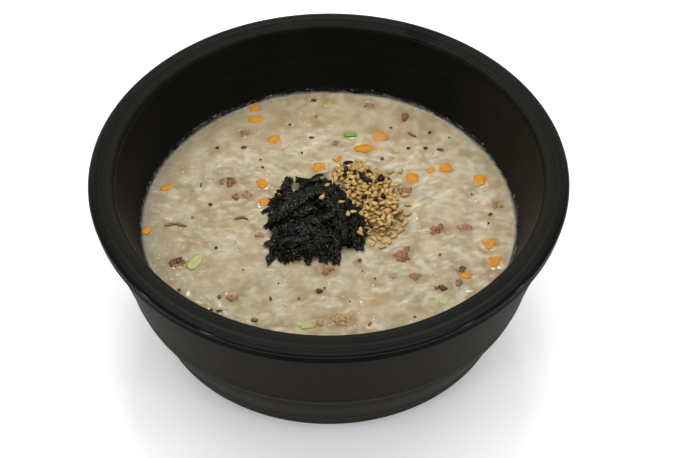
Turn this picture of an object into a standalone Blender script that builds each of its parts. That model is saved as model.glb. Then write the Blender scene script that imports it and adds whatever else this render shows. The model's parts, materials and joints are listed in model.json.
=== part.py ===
"""Rice congee in its turned stone bowl, with a heap of torn seaweed and a heap of sesame on top.

Metres, +Z up. The origin is the centre of the foot, on the surface that the bowl stands on.
The side that faces -Y is the one nearest to whoever eats from it.
"""
import math

import bmesh
import bpy

SEGMENTS = 64

# Bowl: overall size, rim and foot.
HEIGHT = 0.078
RIM_R = 0.095
RIM_WIDTH = 0.0102
RIM_FACE = 0.0061
RIM_FLARE = 0.0007
RIM_STEP = 0.0004
SHOULDER_WIDTH = 0.0042
SHOULDER_DROP = 0.0025
LIP_WIDTH = 0.0009
LIP_DROP = 0.0014
FOOT_R = 0.0625
FOOT_ROUND = 0.004
RECESS_R = 0.047
RECESS_SLOPE = 0.002
RECESS_HIGH = 0.0015

# Outer wall: three straight stretches (radius, height) that meet in faint turned lines.
WALL_TOP_R = 0.0926
UPPER_LINE = (0.0816, 0.0334)
LOWER_LINE = (0.0723, 0.0123)

# Inner wall: a straight taper, in radius per height, down to a wide round at the floor.
INNER_TAPER = 0.332
INNER_ROUND = 0.024
FLOOR_Z = 0.0115

# Two shallow grooves turned into the flat top of the rim.
GROOVES_R = (0.0903, 0.0882)
GROOVE_HALF = 0.0005
GROOVE_DEPTH = 0.00025

# Congee: its level at the wall, and waves as (turns per metre in x, in y, phase in radians).
LEVEL = 0.0492
DOME = 0.0006
WAVES = ((105, 40, 0.7), (-60, 120, 2.1))
WAVE_HIGH = 0.000175
TOP_RINGS = 9
GAP = 0.0003

# Heaps: centre, height, lumpiness, and how far the edge reaches at each angle (degrees, metres).
HEAP_EDGE_HIGH = 0.0011
HEAP_STEPS = 40
HEAP_RINGS = 6
SEAWEED_AT = (-0.005, 0.001)
SEAWEED_HIGH = 0.0075
SEAWEED_LUMPS = 0.22
SEAWEED_EDGE = (
    (0, 0.0185), (30, 0.0165), (60, 0.0185), (90, 0.0215), (110, 0.0230), (127, 0.0235),
    (150, 0.0205), (180, 0.0205), (200, 0.0195), (220, 0.0250), (235, 0.0285), (255, 0.0235),
    (272, 0.0225), (284, 0.0250), (300, 0.0205), (318, 0.0240), (340, 0.0225),
)
SESAME_AT = (0.019, 0.010)
SESAME_HIGH = 0.0036
SESAME_LUMPS = 0.15
SESAME_EDGE = (
    (0, 0.0105), (25, 0.0106), (51, 0.0115), (75, 0.0148), (97, 0.0222), (116, 0.0278), (130, 0.0272),
    (140, 0.0182), (158, 0.0125), (172, 0.0096), (185, 0.0089), (215, 0.0076), (245, 0.0098), (262, 0.0143),
    (279, 0.0240), (295, 0.0205), (315, 0.0150), (344, 0.0115),
)


def clear_scene():
    for thing in list(bpy.data.objects):
        bpy.data.objects.remove(thing, do_unlink=True)


def material(name, colour, roughness):
    made = bpy.data.materials.new(name)
    made.use_nodes = True
    shader = made.node_tree.nodes["Principled BSDF"]
    shader.inputs["Base Color"].default_value = (*colour, 1.0)
    shader.inputs["Roughness"].default_value = roughness
    shader.inputs["Metallic"].default_value = 0.0
    return made


def finished(name, work, finish, crease_degrees):
    """Turn a closed bmesh into an object with its faces outward, smooth but for its real edges."""
    bmesh.ops.recalc_face_normals(work, faces=work.faces)
    mesh = bpy.data.meshes.new(name)
    work.to_mesh(mesh)
    work.free()
    mesh.materials.append(finish)
    mesh.shade_smooth()
    mesh.set_sharp_from_angle(angle=math.radians(crease_degrees))
    bpy.context.scene.collection.objects.link(bpy.data.objects.new(name, mesh))


def turned(name, outline, finish, crease_degrees):
    """Spin an outline of (radius, height) that starts and ends on the axis round Z."""
    work = bmesh.new()
    verts = [work.verts.new((r, 0.0, z)) for r, z in outline]
    edges = [work.edges.new(pair) for pair in zip(verts, verts[1:])]
    bmesh.ops.spin(
        work, geom=verts + edges, cent=(0, 0, 0), axis=(0, 0, 1),
        angle=2 * math.pi, steps=SEGMENTS, use_merge=True,
    )
    bmesh.ops.remove_doubles(work, verts=work.verts, dist=1e-6)
    finished(name, work, finish, crease_degrees)


def stacked(name, loops, bottom, top, finish, crease_degrees):
    """Skin closed loops of points from the bottom point, out and up and in to the top point."""
    work = bmesh.new()
    rings = [[work.verts.new(point) for point in loop] for loop in loops]
    for lower, upper in zip(rings, rings[1:]):
        for i, corner in enumerate(lower):
            j = (i + 1) % len(lower)
            work.faces.new((corner, lower[j], upper[j], upper[i]))
    for ring, point in ((rings[0], bottom), (rings[-1], top)):
        middle = work.verts.new(point)
        for i, corner in enumerate(ring):
            work.faces.new((corner, ring[(i + 1) % len(ring)], middle))
    finished(name, work, finish, crease_degrees)


def arc(centre, radius, start, end, pieces):
    """Points (r, z) of an arc round centre, angles in degrees, both ends included."""
    turns = [math.radians(start + (end - start) * i / pieces) for i in range(pieces + 1)]
    return [(centre[0] + radius * math.cos(a), centre[1] + radius * math.sin(a)) for a in turns]


def around(radius, steps):
    """Points (x, y) evenly round a circle."""
    turns = [2 * math.pi * i / steps for i in range(steps)]
    return [(radius * math.cos(a), radius * math.sin(a)) for a in turns]


def inner_r(z):
    """Radius of the straight part of the inner wall at height z."""
    return RIM_R - RIM_WIDTH - INNER_TAPER * (HEIGHT - LIP_DROP - z)


def inner_round(inset):
    """The round from the inner wall down to the floor, moved inwards by inset."""
    slope = math.atan(INNER_TAPER)
    centre_z = FLOOR_Z + INNER_ROUND
    centre_r = inner_r(centre_z) - INNER_ROUND / math.cos(slope)
    return arc((centre_r, centre_z), INNER_ROUND - inset, -math.degrees(slope), -90, 6)


def bowl_outline():
    foot = [(0, RECESS_HIGH), (RECESS_R, RECESS_HIGH), (RECESS_R + RECESS_SLOPE, 0)]
    lower_slope = math.atan2(LOWER_LINE[0] - FOOT_R - FOOT_ROUND, LOWER_LINE[1])
    foot += arc((FOOT_R, FOOT_ROUND), FOOT_ROUND, -90, -math.degrees(lower_slope), 4)

    face_bottom = HEIGHT - RIM_FACE
    wall = [LOWER_LINE, UPPER_LINE, (WALL_TOP_R, face_bottom - RIM_STEP)]
    face = [(RIM_R - RIM_FLARE - RIM_STEP, face_bottom), (RIM_R - RIM_FLARE, face_bottom + RIM_STEP)]
    shoulder_r = RIM_R - SHOULDER_WIDTH
    shoulder = [
        (shoulder_r + SHOULDER_WIDTH * x, HEIGHT - SHOULDER_DROP * (1 - y))
        for x, y in arc((0, 0), 1, 0, 90, 5)
    ]

    top = []
    for groove in GROOVES_R:
        top += [
            (groove + GROOVE_HALF, HEIGHT), (groove, HEIGHT - GROOVE_DEPTH), (groove - GROOVE_HALF, HEIGHT),
        ]
    lip_r = RIM_R - RIM_WIDTH
    lip = [
        (lip_r + LIP_WIDTH, HEIGHT), (lip_r + LIP_WIDTH / 4, HEIGHT - LIP_DROP / 3),
        (lip_r, HEIGHT - LIP_DROP),
    ]
    return foot + wall + face + shoulder + top + lip + inner_round(0) + [(0, FLOOR_Z)]


def congee_top(x, y):
    """Height of the congee at a point: level, with a slight dome and slow unevenness."""
    across = math.hypot(x, y) / inner_r(LEVEL)
    waves = sum(math.sin(a * x + b * y + phase) for a, b, phase in WAVES)
    return LEVEL + DOME * (1 - across ** 2) + WAVE_HIGH * waves


def build_bowl():
    stone = material("dark_stone", (0.020, 0.019, 0.017), 0.42)
    turned("bowl", bowl_outline(), stone, 25)


def build_congee():
    """The congee fills the bowl up to its level, a hair inside the stone."""
    rice = material("rice_congee", (0.55, 0.48, 0.30), 0.30)
    loops = []
    for radius, height in reversed(inner_round(GAP)):
        loops.append([(x, y, height) for x, y in around(radius, SEGMENTS)])
    edge_r = inner_r(LEVEL) - GAP / math.cos(math.atan(INNER_TAPER))
    for k in range(TOP_RINGS + 1):
        radius = edge_r * (1 - k / (TOP_RINGS + 1))
        loops.append([(x, y, congee_top(x, y)) for x, y in around(radius, SEGMENTS)])
    bottom = (0, 0, FLOOR_Z + GAP)
    stacked("congee", loops, bottom, (0, 0, congee_top(0, 0)), rice, 40)


def reach(edge, degrees):
    """How far a heap's edge lies from its centre at an angle, eased between the stated angles."""
    for (a, near), (b, far) in zip(edge, edge[1:] + ((360, edge[0][1]),)):
        if degrees <= b:
            break
    t = (degrees - a) / (b - a)
    return near + (far - near) * t * t * (3 - 2 * t)


def heap(name, centre, high, lumps, edge, finish):
    """A mound whose underside follows the congee and whose lumpy top swells to the middle."""

    def point(step, share, top):
        degrees = 360 * step / HEAP_STEPS
        far = share * reach(edge, degrees)
        x = centre[0] + far * math.cos(math.radians(degrees))
        y = centre[1] + far * math.sin(math.radians(degrees))
        under = congee_top(x, y) + GAP
        if not top:
            return (x, y, under)
        bumps = 1 + lumps * math.sin(430 * x + 150 * y) * math.cos(-170 * x + 390 * y)
        swell = (high - HEAP_EDGE_HIGH) * (1 - share ** 2) ** 0.8
        return (x, y, under + HEAP_EDGE_HIGH + swell * bumps)

    outward = [k / HEAP_RINGS for k in range(1, HEAP_RINGS + 1)]
    loops = [[point(i, share, False) for i in range(HEAP_STEPS)] for share in outward]
    loops += [[point(i, share, True) for i in range(HEAP_STEPS)] for share in reversed(outward)]
    stacked(name, loops, point(0, 0, False), point(0, 0, True), finish, 50)


def build_heaps():
    seaweed = material("dried_seaweed", (0.012, 0.013, 0.010), 0.45)
    heap("seaweed_heap", SEAWEED_AT, SEAWEED_HIGH, SEAWEED_LUMPS, SEAWEED_EDGE, seaweed)
    sesame = material("toasted_sesame", (0.60, 0.38, 0.14), 0.55)
    heap("sesame_heap", SESAME_AT, SESAME_HIGH, SESAME_LUMPS, SESAME_EDGE, sesame)


clear_scene()
build_bowl()
build_congee()
build_heaps()
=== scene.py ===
import json
import math
import random

import bmesh
import bpy
import numpy as np
from mathutils import Euler, Matrix, Vector, noise

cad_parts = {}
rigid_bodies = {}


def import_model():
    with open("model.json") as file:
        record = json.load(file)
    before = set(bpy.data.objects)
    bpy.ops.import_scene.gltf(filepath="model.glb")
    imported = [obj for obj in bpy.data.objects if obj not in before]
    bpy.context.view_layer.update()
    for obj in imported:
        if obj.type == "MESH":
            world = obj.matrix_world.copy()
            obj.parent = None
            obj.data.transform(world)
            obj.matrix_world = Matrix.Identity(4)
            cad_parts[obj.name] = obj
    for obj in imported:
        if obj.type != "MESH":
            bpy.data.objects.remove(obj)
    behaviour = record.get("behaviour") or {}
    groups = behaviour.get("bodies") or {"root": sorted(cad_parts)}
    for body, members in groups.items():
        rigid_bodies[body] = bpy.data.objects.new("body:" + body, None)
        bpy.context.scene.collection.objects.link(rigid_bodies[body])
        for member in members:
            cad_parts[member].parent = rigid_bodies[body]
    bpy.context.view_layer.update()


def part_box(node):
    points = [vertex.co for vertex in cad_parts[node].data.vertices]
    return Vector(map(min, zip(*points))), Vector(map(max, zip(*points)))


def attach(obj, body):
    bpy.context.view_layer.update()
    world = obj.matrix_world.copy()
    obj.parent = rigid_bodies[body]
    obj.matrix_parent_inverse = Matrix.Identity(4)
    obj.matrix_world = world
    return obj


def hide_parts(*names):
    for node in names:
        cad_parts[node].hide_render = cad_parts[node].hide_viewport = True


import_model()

# ---------------------------------------------------------------------------
# Where it stands: a wide white light table under a studio's soft boxes, looked
# down on from a metre away, from the side that the eater sits at.
# ---------------------------------------------------------------------------
bowl_low, bowl_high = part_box("bowl")
RIM_Z = bowl_high.z
RIM_R = (bowl_high.x - bowl_low.x) / 2
MIDDLE = Vector(((bowl_high.x + bowl_low.x) / 2, (bowl_high.y + bowl_low.y) / 2, bowl_low.z))

# the camera: how far it looks down and is turned, in radians, how far off it stands, and what it looks at
EYE_DOWN = 0.81408
EYE_TURN = 0.00835
EYE_FAR = 1.0033
EYE_AIM = MIDDLE + Vector((0.0606 * RIM_R, -0.33 * RIM_R, RIM_Z - bowl_low.z))
EYE_LENS = 136.05
# each lamp: the way to it from the bowl, how far off, its width and depth in metres, and its watts
LAMPS = {
    "overhead": ((0.0, 0.16, 1.0), 1.0, 1.50, 0.66, 6.3),
    "eater_side": ((0.0, -0.52, 0.85), 2.3, 3.4, 1.5, 18.5),
    "far_side": ((0.0, 0.85, 0.53), 2.3, 3.6, 0.8, 10.5),
    "far_sheen": ((0.0, 0.77, 0.63), 2.3, 0.60, 0.36, 2.6),
    "left_key": ((-0.170, 0.370, 0.905), 1.0, 0.14, 0.12, 1.2),
    "right_key": ((0.150, 0.370, 0.913), 1.0, 0.12, 0.10, 1.0),
    "left_lamp": ((-0.243, 0.490, 0.838), 1.0, 0.05, 0.05, 0.50),
    "right_lamp": ((0.254, 0.509, 0.823), 1.0, 0.05, 0.05, 0.60),
    "left_front_lamp": ((-0.72, -0.61, 0.32), 1.6, 0.10, 0.10, 2.3),
    "left_side_lamp": ((-0.95, -0.18, 0.26), 1.6, 0.10, 0.10, 1.7),
    "right_front_lamp": ((0.77, -0.50, 0.38), 1.6, 0.10, 0.10, 1.8),
    "right_side_lamp": ((0.96, -0.12, 0.27), 1.6, 0.10, 0.10, 1.7)}
ROOM_GLOW = 0.32
TABLE_HALF = 12.0
TABLE_WHITE = 0.93
TABLE_GLOW = 0.22


def add_camera():
    camera = bpy.data.cameras.new("eye")
    camera.lens = EYE_LENS
    camera.sensor_width = 36
    camera.clip_start = 0.05
    eye = bpy.data.objects.new("eye", camera)
    flat = math.cos(EYE_DOWN)
    ahead = Vector((math.sin(EYE_TURN) * flat, math.cos(EYE_TURN) * flat, -math.sin(EYE_DOWN)))
    eye.location = EYE_AIM - ahead * EYE_FAR
    eye.rotation_euler = (math.pi / 2 - EYE_DOWN, 0, -EYE_TURN)
    bpy.context.scene.collection.objects.link(eye)
    bpy.context.scene.camera = eye


def add_lamp(name, towards, far, width, depth, watts):
    """A soft rectangular lamp, facing the bowl."""
    lamp = bpy.data.lights.new(name, "AREA")
    lamp.shape = "RECTANGLE"
    lamp.size = width
    lamp.size_y = depth
    lamp.energy = watts
    box = bpy.data.objects.new(name, lamp)
    direction = Vector(towards).normalized()
    box.location = MIDDLE + direction * far
    box.rotation_euler = direction.to_track_quat("Z", "Y").to_euler()
    bpy.context.scene.collection.objects.link(box)


def add_room():
    world = bpy.data.worlds.new("room")
    world.use_nodes = True
    room = world.node_tree.nodes["Background"]
    room.inputs["Color"].default_value = (1, 1, 1, 1)
    room.inputs["Strength"].default_value = ROOM_GLOW
    bpy.context.scene.world = world
    bpy.context.scene.view_settings.view_transform = "Standard"


def add_table():
    mesh = bpy.data.meshes.new("table_top")
    corners = ((-TABLE_HALF, -TABLE_HALF), (TABLE_HALF, -TABLE_HALF), (TABLE_HALF, TABLE_HALF),
               (-TABLE_HALF, TABLE_HALF))
    mesh.from_pydata([(x, y, bowl_low.z) for x, y in corners], [], [(0, 1, 2, 3)])
    white = bpy.data.materials.new("white_table")
    white.use_nodes = True
    shader = white.node_tree.nodes["Principled BSDF"]
    shader.inputs["Base Color"].default_value = (TABLE_WHITE, TABLE_WHITE, TABLE_WHITE, 1)
    shader.inputs["Roughness"].default_value = 0.9
    shader.inputs["Emission Color"].default_value = (1, 1, 1, 1)
    shader.inputs["Emission Strength"].default_value = TABLE_GLOW
    mesh.materials.append(white)
    table = bpy.data.objects.new("table_top", mesh)
    bpy.context.scene.collection.objects.link(table)


add_camera()
for name, lamp in LAMPS.items():
    add_lamp(name, *lamp)
add_room()
add_table()

# ---------------------------------------------------------------------------
# The bowl: one heavy piece of dark stone, turned on a lathe. The flat top of
# the rim keeps the tool's rings, its shoulder is polished by handling, and the
# wall below it is left satin, with two faint lines where the taper changes.
# ---------------------------------------------------------------------------
# the rim: its flat top, a shoulder that rolls over to the outside, and a lip that rounds in to the wall
RIM_WIDTH = 0.0102
RIM_FACE = 0.0061
SHOULDER_WIDTH = 0.0050
SHOULDER_DROP = 0.0025
LIP_DROP = 0.0014
LIP_ROUND = 0.0013
LIP_DEEP = 0.0032
# the top is crowned a little about this radius, and keeps the tool's rings: radius, half width, depth
CROWN = 0.00030
CROWN_R = 0.0900
CROWN_WIDE = 0.0045
RIM_RINGS = ((0.0914, 0.0005, 0.00002), (0.0883, 0.0006, 0.00003))
# the foot: a recess, and the rounds at the inside and outside of the ring that it stands on, as how far out
# each has its middle and how far it reaches across (and up)
FOOT_RECESS = 0.0015
FOOT_INNER = (0.0495, 0.0015, 0.0010)
FOOT_OUTER = (0.0625, 0.0040)
# the two turned lines of the outer wall, radius and height, and how far out the wall is under the rim
TURNED_LINES = ((0.0723, bowl_low.z + 0.0123), (0.0816, bowl_low.z + 0.0334))
UNDER_RIM_R = 0.0924
# heights at which pale lines are painted on as highlights: the turned lines and the foot of the rim's face
HIGHLIGHT_LINES = (bowl_low.z + 0.0125, bowl_low.z + 0.0336, RIM_Z - RIM_FACE)
SPOON_REST = (0.0400, 0.0824, RIM_Z)
INNER_TAPER = 0.332
INNER_ROUND = 0.024
FLOOR_Z = bowl_low.z + 0.0115
BOWL_TURNS = 256


class Wire:
    """An output of a material's node, so that a sum over the surface reads as a Python sum."""

    def __init__(self, tree, socket=None):
        self.tree = tree
        self.socket = socket

    def node(self, kind, settings=None, inputs=None, output=0):
        """Add any node: its settings first, then its inputs as values or wires."""
        made = self.tree.nodes.new(kind)
        for name, value in (settings or {}).items():
            if name == "stops":
                ramp = made.color_ramp
                while len(ramp.elements) < len(value):
                    ramp.elements.new(0.5)
                for element, (place, colour) in zip(ramp.elements, value):
                    element.position = place
                    element.color = colour
            else:
                setattr(made, name, value)
        for name, value in (inputs or {}).items():
            if isinstance(value, Wire):
                self.tree.links.new(value.socket, made.inputs[name])
            else:
                made.inputs[name].default_value = value
        return Wire(self.tree, made.outputs[output])

    def math(self, operation, a, b):
        return self.node("ShaderNodeMath", {"operation": operation}, {0: a, 1: b})

    def __add__(self, other):
        return self.math("ADD", self, other)

    __radd__ = __add__

    def __sub__(self, other):
        return self.math("SUBTRACT", self, other)

    def __rsub__(self, other):
        return self.math("SUBTRACT", other, self)

    def __mul__(self, other):
        return self.math("MULTIPLY", self, other)

    __rmul__ = __mul__

    def step(self, low, high):
        """0 below low, 1 above high, eased between; high may be the lower one."""
        return self.node("ShaderNodeMapRange", {"interpolation_type": "SMOOTHSTEP"},
                         {"Value": self, "From Min": low, "From Max": high})

    def mix(self, first, second):
        """A colour from first to second as this wire goes from 0 to 1."""
        return self.node("ShaderNodeMix", {"data_type": "RGBA"}, {0: self, 6: first, 7: second}, 2)


class Finish:
    """A material with one Principled shader: what its surface varies by, and what that feeds."""

    def __init__(self, name, roughness, **constants):
        self.material = bpy.data.materials.new(name)
        self.material.use_nodes = True
        self.shader = self.material.node_tree.nodes["Principled BSDF"]
        self.shader.inputs["Roughness"].default_value = roughness
        for socket, value in constants.items():
            self.shader.inputs[socket.replace("_", " ")].default_value = value
        self.wire = Wire(self.material.node_tree)
        self.at = self.wire.node("ShaderNodeTexCoord", output=3)

    def noise(self, scale, detail=2.0, at=None):
        """Cloudy noise, finer as scale goes up; detail is how many finer layers it has."""
        inputs = {"Vector": at or self.at, "Scale": scale, "Detail": detail}
        return self.wire.node("ShaderNodeTexNoise", inputs=inputs)

    def cells(self, scale, output=0):
        """Cells round scattered points: how far off the nearest point is (0), or a colour for each (1)."""
        inputs = {"Vector": self.at, "Scale": scale}
        return self.wire.node("ShaderNodeTexVoronoi", inputs=inputs, output=output)

    def kept(self, name):
        """What the points of the piece keep under a name."""
        return self.wire.node("ShaderNodeAttribute", {"attribute_name": name}, output=2)

    def along(self, axis):
        """The place across (0), away (1) or up (2), in metres."""
        return self.wire.node("ShaderNodeSeparateXYZ", inputs={0: self.at}, output=axis)

    def feed(self, socket, wire):
        self.material.node_tree.links.new(wire.socket, self.shader.inputs[socket])

    def bump(self, strength, deep, height):
        inputs = {"Strength": strength, "Distance": deep, "Height": height}
        self.feed("Normal", self.wire.node("ShaderNodeBump", inputs=inputs))


def place(name, mesh, slot, materials=(), smooth=180):
    """Put a finished mesh in the scene as a piece that rides on the root. Edges that turn by more
    degrees than smooth stay crisp; with 0 every face stays flat."""
    for material in materials:
        mesh.materials.append(material)
    if smooth:
        mesh.shade_smooth()
    if 0 < smooth < 180:
        mesh.set_sharp_from_angle(angle=math.radians(smooth))
    piece = bpy.data.objects.new(name, mesh)
    bpy.context.scene.collection.objects.link(piece)
    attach(piece, "root")
    return piece


def arc(middle, across, up, start, end, count):
    """Points (r, z) of an elliptical arc, angles in degrees, both ends included."""
    turns = [math.radians(start + (end - start) * i / count) for i in range(count + 1)]
    return [(middle[0] + across * math.cos(a), middle[1] + up * math.sin(a)) for a in turns]


def inner_r(z):
    """Radius of the inner wall at height z, above its round."""
    return RIM_R - RIM_WIDTH - INNER_TAPER * (RIM_Z - LIP_DROP - z)


def stretch(start, end, count):
    """Points of a straight line, without its start."""
    return [(start[0] + (end[0] - start[0]) * i / count, start[1] + (end[1] - start[1]) * i / count)
            for i in range(1, count + 1)]


def bowl_outline():
    """The bowl's half section, from the middle of the foot out, up and back in to the floor."""
    base = bowl_low.z
    middle_r, across, up = FOOT_INNER
    outline = [(0, base + FOOT_RECESS), (middle_r - 0.0025, base + FOOT_RECESS)]
    outline += arc((middle_r, base + up), across, up, 180, 270, 4)
    middle_r, across = FOOT_OUTER
    outline += arc((middle_r, base + across), across, across, -90, -31, 8)
    # the outer wall, with a small step at each turned line
    for line_r, line_z in TURNED_LINES:
        outline += stretch(outline[-1], (line_r - 0.0009, line_z - 0.0040), 4)
        outline += [(line_r + 0.00010, line_z - 0.0010), (line_r + 0.00034, line_z - 0.0003),
                    (line_r + 0.00036, line_z), (line_r + 0.00022, line_z + 0.0007)]
    face_z = RIM_Z - RIM_FACE
    outline += stretch(outline[-1], (UNDER_RIM_R, face_z - 0.0012), 8)
    # the rim: its face, its shoulder, its crowned top and its lip
    outline += arc((RIM_R - 0.0017, face_z + 0.0002), 0.0010, 0.0006, -90, 0, 5)
    outline += [(RIM_R - 0.00045, face_z + 0.0018)]
    outline += arc((RIM_R - SHOULDER_WIDTH, RIM_Z - SHOULDER_DROP), SHOULDER_WIDTH, SHOULDER_DROP, 0, 80, 14)
    lip = RIM_R - RIM_WIDTH
    for i in range(1, 25):
        r = CROWN_R - (CROWN_R - lip - LIP_ROUND) * i / 24
        rings = sum(deep * math.exp(-((r - ring_r) / half) ** 2) for ring_r, half, deep in RIM_RINGS)
        outline.append((r, RIM_Z - CROWN * ((r - CROWN_R) / CROWN_WIDE) ** 2 - rings))
    top_z = outline[-1][1]
    foot_z = RIM_Z - LIP_DEEP
    across = lip + LIP_ROUND - inner_r(foot_z)
    outline += arc((lip + LIP_ROUND, foot_z), -across, top_z - foot_z, 80, 0, 10)
    # the inner wall and its round down to the floor
    slope = math.atan(INNER_TAPER)
    round_z = FLOOR_Z + INNER_ROUND
    round_r = inner_r(round_z) - INNER_ROUND / math.cos(slope)
    outline += stretch(outline[-1], (inner_r(round_z + 0.004), round_z + 0.004), 12)
    outline += arc((round_r, round_z), INNER_ROUND, INNER_ROUND, -math.degrees(slope), -90, 14)
    outline += [(0, FLOOR_Z)]
    return outline


def mesh_from(work, name):
    """A plain mesh of a bmesh, its faces turned outward."""
    bmesh.ops.recalc_face_normals(work, faces=work.faces)
    mesh = bpy.data.meshes.new(name)
    work.to_mesh(mesh)
    work.free()
    return mesh


def turn(name, outline, turns):
    """Spin a half section that starts and ends on the axis into a closed mesh."""
    work = bmesh.new()
    verts = [work.verts.new((r, 0, z)) for r, z in outline]
    edges = [work.edges.new(pair) for pair in zip(verts, verts[1:])]
    bmesh.ops.spin(work, geom=verts + edges, cent=(0, 0, 0), axis=(0, 0, 1),
                   angle=2 * math.pi, steps=turns, use_merge=True)
    bmesh.ops.remove_doubles(work, verts=work.verts, dist=1e-6)
    return mesh_from(work, name)


def dark_stone(name, polish, roughness, darkest, lightest, rings=0.3, outside=False, shoulder=0.0, right_light=0.0):
    """The same stone under each of its finishes: polish is how much light its skin throws back, rings how
    strong the lathe's marks are."""
    finish = Finish(name, roughness, Specular_IOR_Level=polish, Coat_Roughness=0.10)
    grain = finish.noise(900.0, 3.0)
    cloud = finish.noise(45.0, 4.0)
    height = finish.along(2)
    # the lathe's marks run round the axis, so they change only with radius and height
    flat = finish.wire.node("ShaderNodeVectorMath", {"operation": "MULTIPLY"}, {0: finish.at, 1: (1, 1, 0)})
    across = finish.wire.node("ShaderNodeVectorMath", {"operation": "LENGTH"}, {0: flat}, 1)
    marks = finish.noise(1300.0, 2.0, finish.wire.node("ShaderNodeCombineXYZ", inputs={0: across, 2: height}))
    tone = grain * (0.6 - rings * 0.5) + cloud * (0.4 - rings * 0.3) + marks * (rings * 0.8)
    stone = tone.step(0.35, 0.65).mix(darkest, lightest)
    if right_light:
        # the wall at the right is painted lighter: painted light falling on it
        lit_right = finish.along(0).step(0.045, 0.080) * (cloud.step(0.25, 0.70) * 0.5 + 0.5)
        stone = (lit_right * right_light).mix(stone, (0.0200, 0.0178, 0.0122, 1))
    if outside:
        # pale bands painted at these heights: painted highlights on the ridges
        highlit = 0.0
        for line_z in HIGHLIGHT_LINES:
            highlit = highlit + height.step(line_z - 0.0011, line_z) * height.step(line_z + 0.0012, line_z + 0.0001)
        stone = (highlit * 0.7).mix(stone, (0.050, 0.045, 0.035, 1))
    if shoulder:
        # the outer edge of the rim is painted near black as painted shade, and given a clear coat so that it
        # shines
        shaded_edge = height.step(RIM_Z - 0.0002, RIM_Z - 0.0011) * across.step(RIM_R - 0.0070, RIM_R - 0.0050)
        stone = shaded_edge.mix(stone, (0.0022, 0.0022, 0.0020, 1))
        finish.feed("Coat Weight", shaded_edge * shoulder)
        # and a wet spoon has been rested on it at the far side
        ends = {0: finish.at, 1: SPOON_REST}
        off = finish.wire.node("ShaderNodeVectorMath", {"operation": "DISTANCE"}, ends, 1)
        wet = (off + (cloud - 0.5) * 0.010).step(0.0085, 0.0060)
        stone = (wet * 0.85).mix(stone, (0.0012, 0.0012, 0.0011, 1))
    finish.feed("Base Color", stone)
    finish.feed("Roughness", roughness - 0.04 + cloud * 0.08 + (marks - 0.5) * (rings * 0.5))
    finish.bump(0.25, 0.0001, grain + marks * rings)
    return finish.material


def finish_of(face):
    """0 on the outside, 1 on the rim, 2 on the inside, 3 on the edge under the rim, which takes a darker copy
    of the stone as painted shade.
    """
    middle = face.center
    across = math.hypot(middle.x, middle.y)
    inner = across < inner_r(middle.z) + 0.0030
    if middle.z > RIM_Z - (LIP_DEEP if inner else SHOULDER_DROP + 0.0004):
        return 1
    if inner and middle.z > FLOOR_Z - 0.0005:
        return 2
    return 3 if middle.z > RIM_Z - RIM_FACE - 0.0003 else 0


stone_mesh = turn("bowl_stone", bowl_outline(), BOWL_TURNS)
for face in stone_mesh.polygons:
    face.material_index = finish_of(face)
bowl = place("bowl_stone", stone_mesh, "bowl", [
    dark_stone("stone_outside", 0.025, 0.50, (0.0086, 0.0075, 0.0045, 1), (0.0136, 0.0121, 0.0074, 1),
               outside=True),
    dark_stone("stone_rim", 0.042, 0.32, (0.0044, 0.0041, 0.0031, 1), (0.0086, 0.0081, 0.0061, 1),
               rings=0.6, shoulder=0.24),
    dark_stone("stone_inside", 0.028, 0.46, (0.0040, 0.0040, 0.0036, 1), (0.0074, 0.0074, 0.0066, 1),
               right_light=0.6),
    # the edge under the rim: a darker copy of the stone, painted shade
    dark_stone("stone_edge_shaded", 0.010, 0.50, (0.0020, 0.0020, 0.0017, 1), (0.0034, 0.0033, 0.0028, 1)),
], smooth=25)
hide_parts("bowl")

# ---------------------------------------------------------------------------
# The congee: rice boiled in stock until it breaks, so a thick cream-coloured gel
# with soft swollen grains just under its skin. It settles level in the bowl, with
# a faint rise in the middle, and takes colour from what lies in it.
# ---------------------------------------------------------------------------
LEVEL = bowl_low.z + 0.0492
DOME = 0.0006
# slow waves in it: radians a metre across and away, and where each starts
WAVES = ((105, 40, 0.7), (-60, 120, 2.1))
WAVE_HIGH = 0.000175
POOL_R = inner_r(LEVEL) + 0.0003
# its skin is kept as fields over a square of small cells
CELL = 0.0004
HALF_CELLS = 195
# a cooked grain, and how many lie near the skin
GRAIN_LONG = 0.0057
GRAIN_WIDE = 0.0026
GRAIN_COUNT = 4800
GRAIN_SIZES = (0.62, 1.16)
GRAIN_LIFT = 0.00026


def settled(x, y):
    """The height that the congee settles to, before any grain lifts its skin."""
    rise = DOME * (1 - (x * x + y * y) / POOL_R ** 2)
    return LEVEL + rise + WAVE_HIGH * sum(np.sin(a * x + b * y + phase) for a, b, phase in WAVES)


def soft_noise(size, seed):
    """A field of noise over the pool, about -1 to 1, with lumps of the given size in metres."""
    step = 3
    coarse = np.array([[noise.noise(Vector((i * CELL / size, j * CELL / size, seed)))
                        for i in range(-HALF_CELLS, HALF_CELLS + step, step)]
                       for j in range(-HALF_CELLS, HALF_CELLS + step, step)])
    places = np.arange(0, 2 * HALF_CELLS + 1) / step
    low = np.minimum(np.floor(places).astype(int), len(coarse) - 2)
    part = places - low
    part = part * part * (3 - 2 * part)
    rows = coarse[low] * (1 - part)[:, None] + coarse[low + 1] * part[:, None]
    return rows[:, low] * (1 - part) + rows[:, low + 1] * part


def blurred(field, cells):
    """The field smoothed over this many cells each way, as a wet skin smooths what lies under it."""
    reach = int(cells * 2.5) + 1
    kernel = np.exp(-0.5 * (np.arange(-reach, reach + 1) / cells) ** 2)
    kernel /= kernel.sum()
    for axis in (0, 1):
        field = np.apply_along_axis(lambda row: np.convolve(np.pad(row, reach, "edge"), kernel, "valid"),
                                    axis, field)
    return field


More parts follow.
